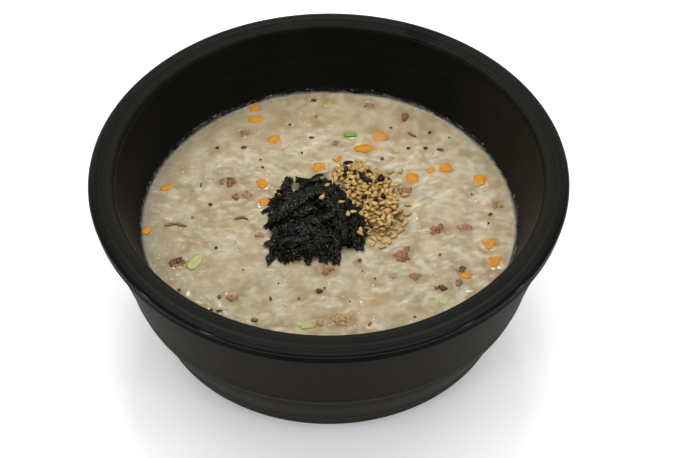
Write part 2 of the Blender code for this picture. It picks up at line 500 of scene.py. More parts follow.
class Pool:
    """The congee's skin as fields over a square of cells: its height and what tints it."""

    def __init__(self):
        line = np.arange(-HALF_CELLS, HALF_CELLS + 1) * CELL
        self.x, self.y = np.meshgrid(line, line)
        self.level = settled(self.x, self.y)
        self.lift = np.zeros_like(self.x)
        self.tints = {name: np.zeros_like(self.x) for name in ("grain", "carrot", "meat", "green", "thin")}

    def window(self, x, y, reach):
        """The cells within reach of a place."""
        i, j = int(x / CELL) + HALF_CELLS, int(y / CELL) + HALF_CELLS
        k = int(reach / CELL) + 2
        return slice(max(j - k, 0), j + k + 1), slice(max(i - k, 0), i + k + 1)

    def press(self, field, x, y, turn_by, half_long, half_wide, high, power=0.7):
        """Raise a field to an oval bump, where it is lower than that."""
        part = self.window(x, y, max(half_long, half_wide))
        dx, dy = self.x[part] - x, self.y[part] - y
        along = dx * math.cos(turn_by) + dy * math.sin(turn_by)
        across = dy * math.cos(turn_by) - dx * math.sin(turn_by)
        inside = np.clip(1 - (along / half_long) ** 2 - (across / half_wide) ** 2, 0, 1)
        field[part] = np.maximum(field[part], high * inside ** power)

    def look_up(self, field, x, y):
        """A field's value between its cells."""
        u, v = np.asarray(x) / CELL + HALF_CELLS, np.asarray(y) / CELL + HALF_CELLS
        i = np.clip(np.floor(u).astype(int), 0, 2 * HALF_CELLS - 1)
        j = np.clip(np.floor(v).astype(int), 0, 2 * HALF_CELLS - 1)
        u, v = u - i, v - j
        return ((field[j, i] * (1 - u) + field[j, i + 1] * u) * (1 - v)
                + (field[j + 1, i] * (1 - u) + field[j + 1, i + 1] * u) * v)

    def rest(self, x, y):
        return float(self.look_up(self.level, x, y))

    def top(self, x, y):
        return float(self.look_up(self.level + self.lift, x, y))


pool = Pool()
rng = random.Random(11)
crowding = soft_noise(0.017, 4.0)
bareness = soft_noise(0.030, 9.0)
clumps = soft_noise(0.0075, 12.0)
lean = soft_noise(0.020, 15.0)

grains = []
while len(grains) < GRAIN_COUNT:
    x, y = rng.uniform(-POOL_R, POOL_R), rng.uniform(-POOL_R, POOL_R)
    if math.hypot(x, y) > POOL_R - 0.0012:
        continue
    dense = sum(float(pool.look_up(field, x, y)) * part
                for field, part in ((crowding, 0.4), (bareness, 0.15), (clumps, 0.9))) + 0.34
    if rng.random() > 0.35 + dense:
        continue
    size = rng.uniform(*GRAIN_SIZES)
    proud = max(0.04, min(1.0, rng.gauss(0.42, 0.24) + 0.3 * (dense - 0.3)))
    # neighbours lie much the same way, as the ladle left them
    turn_by = float(pool.look_up(lean, x, y)) * 4.0 + 0.5 + rng.gauss(0, 0.55)
    grains.append((x, y, turn_by, size, proud, rng.random()))

for x, y, turn_by, size, proud, pale in grains:
    half_long = GRAIN_LONG * 0.52 * size
    pool.press(pool.lift, x, y, turn_by, half_long, GRAIN_WIDE * 0.56 * size, GRAIN_LIFT * proud)
    pool.press(pool.tints["grain"], x, y, turn_by, half_long, GRAIN_WIDE * 0.48 * size,
               (0.30 + 0.70 * proud) * (0.40 + 0.80 * pale))

# ---------------------------------------------------------------------------
# The carrot: diced by hand into cubes of about 5 mm and cooked soft. Most have
# sunk until only a rounded top shows, and their colour has run into the gel.
# ---------------------------------------------------------------------------
# each: across, away, long and wide in millimetres, turn in degrees, how much stands out of the gel (0 to 1)
CARROT_DICE = (
    (-31, 66, 4.4, 3.6, 10, 0.4), (-30, 59, 5.2, 4.0, -5, 0.7), (-23, 46, 5.0, 4.8, 8, 0.9),
    (21, 48, 5.4, 5.2, 12, 1.0), (15, 41, 7.4, 3.6, 3, 0.8), (48, 29, 4.8, 4.4, 15, 0.8),
    (42, 28, 3.2, 2.8, 30, 0.4), (34, 23, 5.0, 5.2, 10, 0.9), (62, 22, 5.2, 4.8, 20, 0.8),
    (-4, 30, 5.2, 4.0, 5, 0.8), (4, 35, 3.6, 2.6, 20, 0.3), (-27, 21, 4.6, 4.4, 40, 0.8),
    (-26, 11, 5.0, 4.0, 5, 0.7), (-66, 19, 4.4, 2.2, 25, 0.4), (-73, -4, 4.0, 2.6, 60, 0.3),
    (64, -13, 5.0, 4.8, 35, 1.0), (66, -23, 5.2, 4.6, 10, 0.9), (54, -30, 3.4, 4.4, 75, 0.3),
    (43, -33, 4.4, 4.0, 10, 0.0), (-52, -11, 5.0, 3.6, 20, 0.0), (-15, -49, 5.0, 4.0, 0, 0.0))
CARROT_DEEP = 0.0044
# how far a piece that stands right out lifts the skin round it
PIECE_LIFT = 0.0006
# how its colour runs into the gel: part of its size, how much farther (m), how strong, how soon it fades
CARROT_RUNS = ((0.90, 0.0060, 0.16, 1.0), (0.90, 0.0014, 0.46, 1.2), (0.74, 0.0, 1.0, 0.75))
MM = 0.001
# without this the noise vectors that shape the pieces would differ at each run
noise.seed_set(11)


def in_metres(rows):
    """Rows of places, sizes and turns, brought from millimetres and degrees to metres and radians."""
    for x, y, long, wide, turn_by, *rest in rows:
        yield (x * MM, y * MM, long * MM, wide * MM, math.radians(turn_by), *rest)


class Heap:
    """Bodies gathered into one mesh; each point keeps a tone."""

    def __init__(self):
        self.points, self.faces, self.tones = [], [], []

    def add(self, points, faces, tone, at=None):
        first = len(self.points)
        self.points += [tuple(at @ Vector(point)) if at else tuple(point) for point in points]
        self.faces += [[first + corner for corner in face] for face in faces]
        self.tones += list(tone) if hasattr(tone, "__len__") else [tone] * len(points)

    def mesh(self, name):
        mesh = bpy.data.meshes.new(name)
        mesh.from_pydata(self.points, [], self.faces)
        mesh.attributes.new("tone", "FLOAT", "POINT").data.foreach_set("value", self.tones)
        return mesh


def body(build):
    """Points and faces of a bmesh that the given function shapes."""
    work = bmesh.new()
    build(work)
    bmesh.ops.recalc_face_normals(work, faces=work.faces)
    work.verts.index_update()
    points = [vert.co.copy() for vert in work.verts]
    faces = [[vert.index for vert in face.verts] for face in work.faces]
    work.free()
    return points, faces


def laid(x, y, z, turn_by, tilt=(0, 0), size=(1, 1, 1)):
    return (Matrix.Translation((x, y, z)) @ Euler((tilt[0], tilt[1], turn_by)).to_matrix().to_4x4()
            @ Matrix.Diagonal((*size, 1)))


def soft_cube(seed, soften=0.36, rough=0.10):
    """A cube one across, its edges boiled round and its faces a little uneven."""

    def build(work):
        bmesh.ops.create_cube(work, size=1)
        bmesh.ops.subdivide_edges(work, edges=work.edges, cuts=5, use_grid_fill=True)
        for vert in work.verts:
            core = Vector([max(soften - 0.5, min(0.5 - soften, part)) for part in vert.co])
            vert.co = core + (vert.co - core).normalized() * soften
            vert.co += noise.noise_vector(vert.co * 2.6 + Vector((seed, 0, 0))) * rough
    return body(build)


def waded(points, at, tone, deep):
    """A tone for each point, falling to 0 where the gel closes over it."""
    spots = np.array([at @ point for point in points])
    above = spots[:, 2] - pool.look_up(pool.level + pool.lift, spots[:, 0], spots[:, 1])
    return (tone * np.clip(above / deep, 0, 1)).tolist()


def carrot_flesh():
    finish = Finish("carrot_flesh", 0.35, Subsurface_Weight=0.3, Subsurface_Scale=0.0009,
                    Subsurface_Radius=(1.0, 0.5, 0.2), Specular_IOR_Level=0.16)
    tone = finish.kept("tone")
    cloud = finish.noise(420.0, 3.0)
    ripe = (tone * 0.6 + cloud * 0.6).step(0.25, 1.05).mix((0.43, 0.145, 0.004, 1), (0.50, 0.225, 0.010, 1))
    finish.feed("Base Color", tone.step(0.50, 0.0).mix(ripe, (0.46, 0.230, 0.055, 1)))
    finish.feed("Roughness", 0.16 + cloud * 0.3)
    finish.bump(0.5, 0.0003, cloud)
    return finish.material


carrots = Heap()
for x, y, long, wide, turn_by, proud in in_metres(CARROT_DICE):
    strength = 0.35 + 0.65 * proud
    for part, more, strong, power in CARROT_RUNS:
        pool.press(pool.tints["carrot"], x, y, turn_by, long * part + more, wide * part + more,
                   strong * strength, power)
    pool.press(pool.lift, x, y, turn_by, long * 0.80, wide * 0.80, PIECE_LIFT * proud, 0.6)
    if proud:
        deep = min(wide, CARROT_DEEP)
        top = pool.rest(x, y) + 0.00035 + 0.0004 * proud
        tilt = (rng.uniform(-0.10, 0.10), rng.uniform(-0.10, 0.10))
        points, faces = soft_cube(rng.uniform(0, 99))
        at = laid(x, y, top - deep / 2, turn_by, tilt, (long * 1.36, wide * 1.45, deep))
        carrots.add(points, faces, waded(points, at, 0.6 + 0.4 * rng.random(), 0.00022), at)
place("carrot_dice", carrots.mesh("carrot_dice"), "congee", [carrot_flesh()], smooth=60)

# ---------------------------------------------------------------------------
# The courgette: thin cut pieces, cooked until the flesh is pale and clear. One
# still shows its bright green skin; the rest lie just under the surface.
# ---------------------------------------------------------------------------
# the same numbers as for the carrot, and last how green it is (0 flesh, 1 skin)
COURGETTE = (
    (9, 49, 5.2, 3.2, 4, 0.9, 1.0), (0, 67, 4.6, 1.8, 8, 0.4, 0.15), (29, 40, 4.8, 2.4, -8, 0.3, 0.2),
    (-53, -22, 9.0, 4.6, 58, 0.7, 0.25), (45, -42, 6.5, 4.5, 70, 0.2, 0.2),
    (-8, -56, 7.0, 3.4, 12, 0.6, 0.35), (-13, 24, 7.0, 4.4, 10, 0.5, 0.2))
SLICE_THICK = 0.0018


def courgette_flesh():
    finish = Finish("courgette_flesh", 0.2, Subsurface_Weight=0.4, Subsurface_Scale=0.0014,
                    Subsurface_Radius=(0.7, 1.0, 0.4), IOR=1.38)
    cloud = finish.noise(380.0, 3.0)
    green = (finish.kept("tone") + (cloud - 0.5) * 0.4).step(0.0, 1.0)
    finish.feed("Base Color", green.mix((0.37, 0.34, 0.14, 1), (0.10, 0.22, 0.014, 1)))
    finish.feed("Roughness", 0.16 + cloud * 0.2)
    finish.bump(0.5, 0.0002, cloud)
    return finish.material


slices = Heap()
for x, y, long, wide, turn_by, proud, green in in_metres(COURGETTE):
    pool.press(pool.tints["green"], x, y, turn_by, long * 0.75 + 0.001, wide * 0.85 + 0.001,
               0.35 + 0.45 * proud, 1.0)
    pool.press(pool.lift, x, y, turn_by, long * 0.6, wide * 0.7, PIECE_LIFT * proud, 0.6)
    points, faces = soft_cube(rng.uniform(0, 99), 0.3, 0.08)
    # the skin side is the greenest
    tones = [green * (1.0 if green < 0.9 else 0.55 + 0.9 * (0.1 - point.y)) for point in points]
    top = pool.rest(x, y) + 0.0001 + 0.0008 * proud
    tilt = (rng.uniform(-0.1, 0.1), 0.05)
    at = laid(x, y, top - SLICE_THICK / 2, turn_by, tilt, (long, wide, SLICE_THICK))
    slices.add(points, faces, tones, at)
place("courgette_slices", slices.mesh("courgette_slices"), "congee", [courgette_flesh()], smooth=60)

# ---------------------------------------------------------------------------
# The minced meat: small crumbs that clung together in the pan, browned outside
# and grey-mauve where the gel has soaked in. Rough all over, wet on top.
# ---------------------------------------------------------------------------
# across, away, long and wide in millimetres, turn in degrees, how much stands out, how dark
MINCE = (
    (-41, 22, 7.0, 4.6, 10, 1.0, 0.70), (-34, 15, 5.5, 3.2, -20, 0.5, 0.45),
    (-35, 51, 6.0, 3.2, 20, 0.5, 0.45), (32, 59, 4.4, 3.8, 30, 0.8, 0.60),
    (-60, -22, 6.5, 4.6, 15, 1.0, 0.86), (29, -19, 6.4, 6.0, 50, 1.0, 0.60),
    (44, -5, 6.0, 5.0, 70, 0.8, 0.60), (54, -4, 6.0, 3.6, 10, 0.5, 0.40),
    (-1, -27, 6.0, 4.0, 15, 0.6, 0.40), (31, 16, 6.0, 4.4, 20, 0.6, 0.45),
    (4, -53, 8.5, 5.2, 18, 1.0, 0.12), (-5, -55, 6.0, 4.0, 30, 0.4, 0.10),
    (-38, -41, 4.4, 3.2, 0, 0.3, 0.40), (34, -31, 6.4, 3.6, -20, 0.5, 0.50),
    (52, -27, 4.4, 3.0, 15, 0.9, 0.70), (44, -37, 4.4, 2.8, -15, 1.0, 1.00),
    (50, -34, 5.0, 3.2, 15, 0.5, 0.50), (17, 67, 4.0, 2.6, 10, 0.4, 0.45),
    (3, 44, 4.4, 2.4, -20, 0.4, 0.40), (68, 8, 4.0, 4.6, 80, 0.2, 0.35),
    (-28, -8, 4.4, 3.0, 20, 0.3, 0.35), (-38, 14, 3.4, 2.2, 60, 0.3, 0.40),
    (25, -31, 3.4, 2.4, 10, 0.2, 0.30), (-46, 60, 3.2, 2.0, 40, 0.2, 0.30))


# how large its crumbs are, as parts of its width, and how much they differ in how dark they are
MINCE_SIZES = (0.40, 0.66)
MINCE_UNEVEN = 0.15


def crumb(seed, fine=3):
    """A lump one across, torn rough; fine is how far its faces are divided."""

    def build(work):
        bmesh.ops.create_icosphere(work, subdivisions=fine, radius=0.5)
        shift = Vector((seed, seed * 0.7, 0))
        for vert in work.verts:
            out = vert.co.normalized()
            rise = noise.noise(out * 1.4 + shift) * 0.34 + noise.noise(out * 3.4 + shift) * 0.16
            rise += noise.noise(out * 8.0 + shift) * 0.08
            vert.co = out * (0.5 + 0.5 * rise)
    return body(build)


def browned_meat():
    finish = Finish("browned_meat", 0.3, Subsurface_Weight=0.15, Subsurface_Scale=0.001, IOR=1.4)
    cloud = finish.noise(650.0, 4.0)
    patch = finish.noise(230.0)
    stops = ((0.0, (0.36, 0.225, 0.095, 1)), (0.35, (0.270, 0.134, 0.046, 1)),
             (0.65, (0.175, 0.073, 0.021, 1)), (1.0, (0.040, 0.018, 0.007, 1)))
    brown = finish.kept("tone") * 1.1 + cloud * 0.5 - 0.24
    meat = finish.wire.node("ShaderNodeValToRGB", {"stops": stops}, {0: brown})
    finish.feed("Base Color", (patch.step(0.45, 0.75) * 0.25).mix(meat, (0.24, 0.135, 0.065, 1)))
    finish.feed("Roughness", 0.18 + cloud * 0.3)
    finish.bump(0.5, 0.0003, cloud)
    return finish.material


crumbs = Heap()
for x, y, long, wide, turn_by, proud, dark in in_metres(MINCE):
    pool.press(pool.tints["meat"], x, y, turn_by, long * 0.85 + 0.0018, wide * 0.85 + 0.0018,
               0.48 + 0.30 * proud, 1.2)
    pool.press(pool.lift, x, y, turn_by, long * 0.62, wide * 0.62, PIECE_LIFT * proud, 0.6)
    level = pool.rest(x, y)
    for _ in range(int(5 + 1.4 * long / MM)):
        out, way = math.sqrt(rng.random()) * 0.46, rng.uniform(0, 2 * math.pi)
        along, aside = out * math.cos(way) * long, out * math.sin(way) * wide
        size = rng.uniform(*MINCE_SIZES) * wide + 0.0003
        near_x = x + along * math.cos(turn_by) - aside * math.sin(turn_by)
        near_y = y + along * math.sin(turn_by) + aside * math.cos(turn_by)
        top = level + (0.0003 + 0.0011 * proud) * (1 - (out / 0.5) ** 2) + rng.uniform(-0.0002, 0.0002)
        points, faces = crumb(rng.uniform(0, 99), 2)
        tone = min(1, max(0, dark + rng.uniform(-MINCE_UNEVEN, MINCE_UNEVEN)))
        turned, tilt = rng.uniform(0, 6), (rng.uniform(-1, 1), rng.uniform(-1, 1))
        at = laid(near_x, near_y, top - size * 0.42, turned, tilt, (size * 1.3, size, size * 0.95))
        crumbs.add(points, faces, waded(points, at, tone, 0.0005), at)
place("minced_meat", crumbs.mesh("minced_meat"), "congee", [browned_meat()], smooth=60)

# ---------------------------------------------------------------------------
# The dark flecks: dried mushroom and pepper stirred through the pot, most of them
# scraps 1 to 3 mm long and a few longer shreds, stuck in the skin.
# ---------------------------------------------------------------------------
# across, away, long and wide in millimetres, turn in degrees, how dark
FLECKS = (
    (-6, 70, 2.0, 1.3, 0, 0.9), (42, 50, 1.8, 0.9, 20, 0.9), (33, 41, 1.8, 1.0, 0, 0.9),
    (40, 41, 2.0, 0.9, 10, 0.8), (46, 40, 3.4, 1.1, -25, 0.6), (-35, 42, 2.4, 1.4, 10, 0.8),
    (-46, 42, 1.6, 1.0, 40, 0.8), (-27, 30, 1.3, 0.8, 0, 0.8), (-52, 20, 1.8, 0.8, 80, 0.6),
    (-48, 9, 1.6, 1.5, 10, 1.0), (-45, -15, 1.5, 1.0, 50, 1.0), (-4, -38, 2.7, 2.2, 20, 1.0),
    (-2, -36.5, 0.9, 0.7, 0, 0.9), (-43, -41, 1.7, 1.6, 0, 0.6), (-23, -42, 0.9, 2.0, 10, 0.7),
    (-12, -42, 0.9, 0.7, 0, 0.8), (22, 35, 1.6, 1.4, 70, 0.7), (-11, 38, 0.9, 0.9, 0, 0.8),
    (65, 3, 1.6, 1.3, 20, 0.7), (64, -2, 0.9, 0.7, 0, 0.8), (44, -19, 1.6, 1.0, 50, 0.4),
    (-43, -48, 2.6, 0.9, 10, 0.7), (-59, -37, 1.6, 1.2, 20, 0.6), (-29, -53, 1.8, 2.6, 80, 0.4),
    (33, -52, 1.0, 0.8, 0, 0.6), (-46, -47.5, 1.4, 1.0, 30, 0.8), (-7, 47, 0.9, 2.0, 85, 0.5),
    (-20, -34, 0.7, 0.6, 0, 0.6), (18, -32, 0.8, 0.7, 0, 0.6), (12, -22, 1.6, 1.2, 10, 0.5),
    (13, -28, 0.8, 0.6, 0, 0.5), (-16, 55, 1.1, 0.8, 0, 0.5), (-28, 34.5, 1.0, 0.7, 0, 0.6),
    (50, 47, 1.0, 0.6, 30, 0.6), (58, 14, 1.0, 0.7, 0, 0.5), (-55, 2, 1.1, 0.7, 20, 0.5),
    (-34, -27, 0.7, 0.6, 0, 0.6), (8, -44, 0.8, 0.6, 0, 0.5), (26, 53, 1.3, 0.7, 10, 0.5),
    (-5, 60, 1.2, 0.6, 30, 0.5))
# the longer shreds, as ways across and away in millimetres
SHREDS = (
    ((-38, 1.2), (-35, 2.2), (-32.5, 0.8)), ((-37, 12.5), (-39, 13.8), (-37, 15.2)),
    ((-66, -2), (-62, -1.2), (-57, -2.6)), ((33, 50.5), (35, 48.6), (36.5, 48)), ((15, -56.4), (16, -54.6)))
SHRED_WIDE = 0.0009
SHRED_THICK = 0.0005
FLECK_UP = 0.0006


def strip_body(path, wide, thick, drape, crumple, seed, columns=5, step=0.0008, ends=0.35, teeth=0.0):
    """A ragged scrap laid along a path, over what drape gives the height of, as points, faces and how near
    each point is to an edge. teeth is how far its torn ends run out and in."""
    path = [Vector(point) for point in path]
    spans = [(b - a).length for a, b in zip(path, path[1:])]
    whole = sum(spans)
    count = max(4, int(whole / step))
    rows = []
    for i in range(count + 1):
        left, k = whole * i / count, 0
        while k < len(spans) - 1 and left > spans[k]:
            left -= spans[k]
            k += 1
        before, after = path[max(k - 1, 0)], path[min(k + 2, len(path) - 1)]
        t = left / max(spans[k], 1e-9)
        a, b = path[k], path[k + 1]
        rows.append(0.5 * ((2 * a) + (b - before) * t + (2 * before - 5 * a + 4 * b - after) * t * t
                           + (3 * a - before - 3 * b + after) * t ** 3))
    shift = Vector((seed, seed * 0.37, 0))
    points, edge = [], []
    for i, middle in enumerate(rows):
        ahead = (rows[min(i + 1, count)] - rows[max(i - 1, 0)]).normalized()
        share = i / count
        taper = min(1, ends + (1 - ends) * min(share, 1 - share) * 5)
        near_end = max(0.0, abs(2 * share - 1) - 0.6) * 2.5
        side = math.copysign(1.0, share - 0.5)
        for j in range(columns):
            u = 2 * j / (columns - 1) - 1
            along = share * whole
            ragged = 1 + 0.40 * noise.noise(Vector((along * 600, u * 0.8, seed)))
            ragged += 0.35 * abs(u) * noise.noise(Vector((along * 2300, u * 2, seed + 5)))
            tooth = (noise.noise(Vector((u * 2.6, seed, side * 3))) * 1.8 - 0.2 * u * u) * teeth * near_end
            across = Vector((-ahead.y, ahead.x)) * (u * wide / 2 * taper * ragged)
            flat = middle + across + ahead * (tooth * side)
            fold = Vector((along * 160, u * wide * 430, seed))
            fine = Vector((flat.x * 900, flat.y * 900, seed))
            move = noise.noise_vector(fold) * crumple + noise.noise_vector(fine + shift) * crumple * 0.40
            high = drape(flat.x, flat.y) + abs(move.z)
            high += 0.5 * crumple * u * u * noise.noise(fold * 0.6 - shift)
            points.append(Vector((flat.x + move.x * 0.6, flat.y + move.y * 0.6, high)))
            edge.append(abs(u) ** 3)
    size = len(points)
    under = [point - Vector((0, 0, thick)) for point in points]
    faces = []
    for i in range(count):
        for j in range(columns - 1):
            a = i * columns + j
            quad = [a, a + columns, a + columns + 1, a + 1]
            faces += [quad[::-1], [corner + size for corner in quad]]
    border = [j for j in range(columns)] + [i * columns + columns - 1 for i in range(1, count + 1)]
    border += [count * columns + j for j in range(columns - 2, -1, -1)]
    border += [i * columns for i in range(count - 1, 0, -1)]
    for a, b in zip(border, border[1:] + border[:1]):
        faces.append([a, b, b + size, a + size])

    def build(work):
        verts = [work.verts.new(point) for point in points + under]
        for face in faces:
            work.faces.new([verts[corner] for corner in face])
    made_points, made_faces = body(build)
    return made_points, made_faces, edge + edge


def dried_fleck():
    finish = Finish("dried_fleck", 0.35, Specular_IOR_Level=0.15)
    cloud = finish.noise(900.0)
    dark = (finish.kept("tone") + (cloud - 0.5) * 0.5).step(0.2, 1.0)
    finish.feed("Base Color", dark.mix((0.23, 0.105, 0.026, 1), (0.055, 0.029, 0.009, 1)))
    finish.feed("Roughness", 0.25 + cloud * 0.3)
    finish.bump(0.6, 0.0002, cloud)
    return finish.material


def on_pool(x, y):
    """A little above the settled gel."""
    return pool.rest(x, y) + FLECK_UP


flecks = Heap()
for x, y, long, wide, turn_by, dark in in_metres(FLECKS):
    pool.press(pool.tints["meat"], x, y, turn_by, long * 0.8 + 0.0005, wide * 0.8 + 0.0005, 0.30, 1.0)
    points, faces = crumb(rng.uniform(0, 99))
    tilt = (rng.uniform(-0.3, 0.3), rng.uniform(-0.3, 0.3))
    at = laid(x, y, on_pool(x, y), turn_by, tilt, (long, wide, min(wide, SHRED_WIDE)))
    flecks.add(points, faces, dark, at)
for path in SHREDS:
    points, faces, _ = strip_body([(x * MM, y * MM) for x, y in path], SHRED_WIDE, SHRED_THICK, on_pool,
                                  0.0002, rng.uniform(0, 99), 3, 0.0005)
    flecks.add(points, faces, 0.45)
place("dark_flecks", flecks.mesh("dark_flecks"), "congee", [dried_fleck()], smooth=60)

# ---------------------------------------------------------------------------
# The skin of the congee: where the gel stands still, lifted a little by each
# grain and each piece under it, clear between them, and creeping up the wall.
# ---------------------------------------------------------------------------
# places where the congee is made paler (more rice) and, below 0, darker (more gel), partly standing in for
# painted light and shade: across, away, reach (mm), and how much more rice
PALE_AND_DARK_SPOTS = ((18, -43, 17, 0.80), (-30, -16, 12, 0.40), (10, 58, 20, 0.40), (-30, 48, 16, 0.35),
          (50, -14, 15, -0.40), (-46, 16, 9, -0.45), (-60, -32, 15, -0.50))
# slow ripples that are left in it: how high, how long, and the seed of each
RIPPLES = ((0.00017, 0.011, 2.0), (0.00007, 0.0035, 5.0), (0.00004, 0.0016, 6.0))
# how far it has crept up the wall, and how that rises and falls: how far, and how often round the bowl
CLIMB = 0.0011
CLIMB_LEAST = 0.0003
CLIMB_WAVES = ((0.0012, 6), (0.0014, 17), (0.0009, 44), (0.0006, 95))
CLIMB_STEPS = 1440
# how wide the film is that clings to the wall, and the band beside it where the gel is darkened as painted
# shade
CLING_WIDE = 0.0022
WALL_SHADE_WIDE = 0.0140
SKIN_DEEP = 0.004
SKIN_LINES = 300
# light goes into the gel and the rice alike, and comes out a little warmer
GEL_LIGHT = {"Subsurface_Weight": 1.0, "Subsurface_Scale": 0.0017, "Subsurface_Radius": (1.0, 0.85, 0.6),
             "IOR": 1.38}

pool.lift = blurred(pool.lift, 1.0)
for high, size, seed in RIPPLES:
    pool.lift += high * soft_noise(size, seed)
for tint in pool.tints:
    pool.tints[tint] = blurred(pool.tints[tint], 1.4)
# the gel is clear and thin in patches, a real change in its tone; it is also painted darker at the left and
# along the wall on the eater's side, as painted shade
near_wall_shade = np.clip(np.hypot(pool.x, pool.y) / POOL_R * 5.0 - 4.0, 0, 1) * np.clip(0.5 - pool.y / 0.05, 0, 1)
thin = 0.48 - 1.2 * clumps - 0.35 * bareness + 0.5 * soft_noise(0.012, 7.0) - pool.x / 0.30 + 0.55 * near_wall_shade
for x, y, reach, more in PALE_AND_DARK_SPOTS:
    thin -= more * np.exp(-((pool.x - x * MM) ** 2 + (pool.y - y * MM) ** 2) / (reach * MM) ** 2)
pool.tints["thin"] = np.clip(thin, 0, 1)
pool.tints["grain"] *= (0.90 + 0.3 * np.clip(clumps, -0.3, 0.4)) * (1 - 0.28 * pool.tints["thin"])


def climb_at(around):
    """How far the skin has crept up the wall at an angle in radians: the stirring left it uneven."""
    spot = Vector((math.cos(around), math.sin(around), 0))
    high = CLIMB
    for more, often in CLIMB_WAVES:
        high += more * noise.noise(spot * often)
    return max(CLIMB_LEAST, high)


def disc(radius, lines):
    """A round sheet of even small faces: a square net drawn out to a circle."""
    square = np.linspace(-1, 1, lines)
    u, v = np.meshgrid(square, square)
    reach = np.maximum(np.abs(u), np.abs(v))
    long_way = np.hypot(u, v)
    scale = radius * np.divide(reach, long_way, out=np.zeros_like(reach), where=long_way > 0)
    # the net keeps its squares in the middle and rounds off towards the edge
    ease = reach ** 2
    x = u * (scale * ease + radius * 0.80 * (1 - ease))
    y = v * (scale * ease + radius * 0.80 * (1 - ease))
    index = np.arange(lines * lines).reshape(lines, lines)
    faces = np.stack([index[:-1, :-1], index[:-1, 1:], index[1:, 1:], index[1:, :-1]], -1).reshape(-1, 4)
    return x.ravel(), y.ravel(), faces


def skin_mesh():
    x, y, faces = disc(POOL_R, SKIN_LINES)
    z = pool.look_up(pool.level + pool.lift, x, y)
    across = np.hypot(x, y)
    turns = np.linspace(-math.pi, math.pi, CLIMB_STEPS + 1)
    climb = np.interp(np.arctan2(y, x), turns, [climb_at(around) for around in turns])
    cling = np.clip(1 - (POOL_R - across) / CLING_WIDE, 0, 1)
    rise = climb * cling ** 3
    # the wall leans out, and the skin goes up along it
    lean_out = 1 + INNER_TAPER * rise / np.maximum(across, CELL)
    mesh = bpy.data.meshes.new("congee_skin")
    mesh.from_pydata(np.stack([x * lean_out, y * lean_out, z + rise], -1).tolist(), [], faces.tolist())
    looks = {tint: pool.look_up(field, x, y) for tint, field in pool.tints.items()}
    # painted shade: the gel is darkened near the wall at the left
    shallow = np.clip(1 - (POOL_R - across) / WALL_SHADE_WIDE, 0, 1) ** 2
    looks["shallow"] = shallow * np.clip(0.15 - x / POOL_R, 0, 1)
    looks["film"] = np.clip((cling - 0.10) / 0.85, 0, 1) ** 1.4
    for look, values in looks.items():
        store = mesh.attributes.new(look, "FLOAT", "POINT")
        store.data.foreach_set("value", values.astype(np.float32))
    # it reaches down inside the wall, so that it is a body and not a sheet
    work = bmesh.new()
    work.from_mesh(mesh)
    rim = [edge for edge in work.edges if edge.is_boundary]
    ring = bmesh.ops.extrude_edge_only(work, edges=rim)["geom"]
    down = [v for v in ring if isinstance(v, bmesh.types.BMVert)]
    for vert in down:
        vert.co.z = LEVEL - SKIN_DEEP
    bmesh.ops.contextual_create(work, geom=[edge for edge in ring if isinstance(edge, bmesh.types.BMEdge)])
    bmesh.ops.recalc_face_normals(work, faces=work.faces)
    work.to_mesh(mesh)
    work.free()
    return mesh


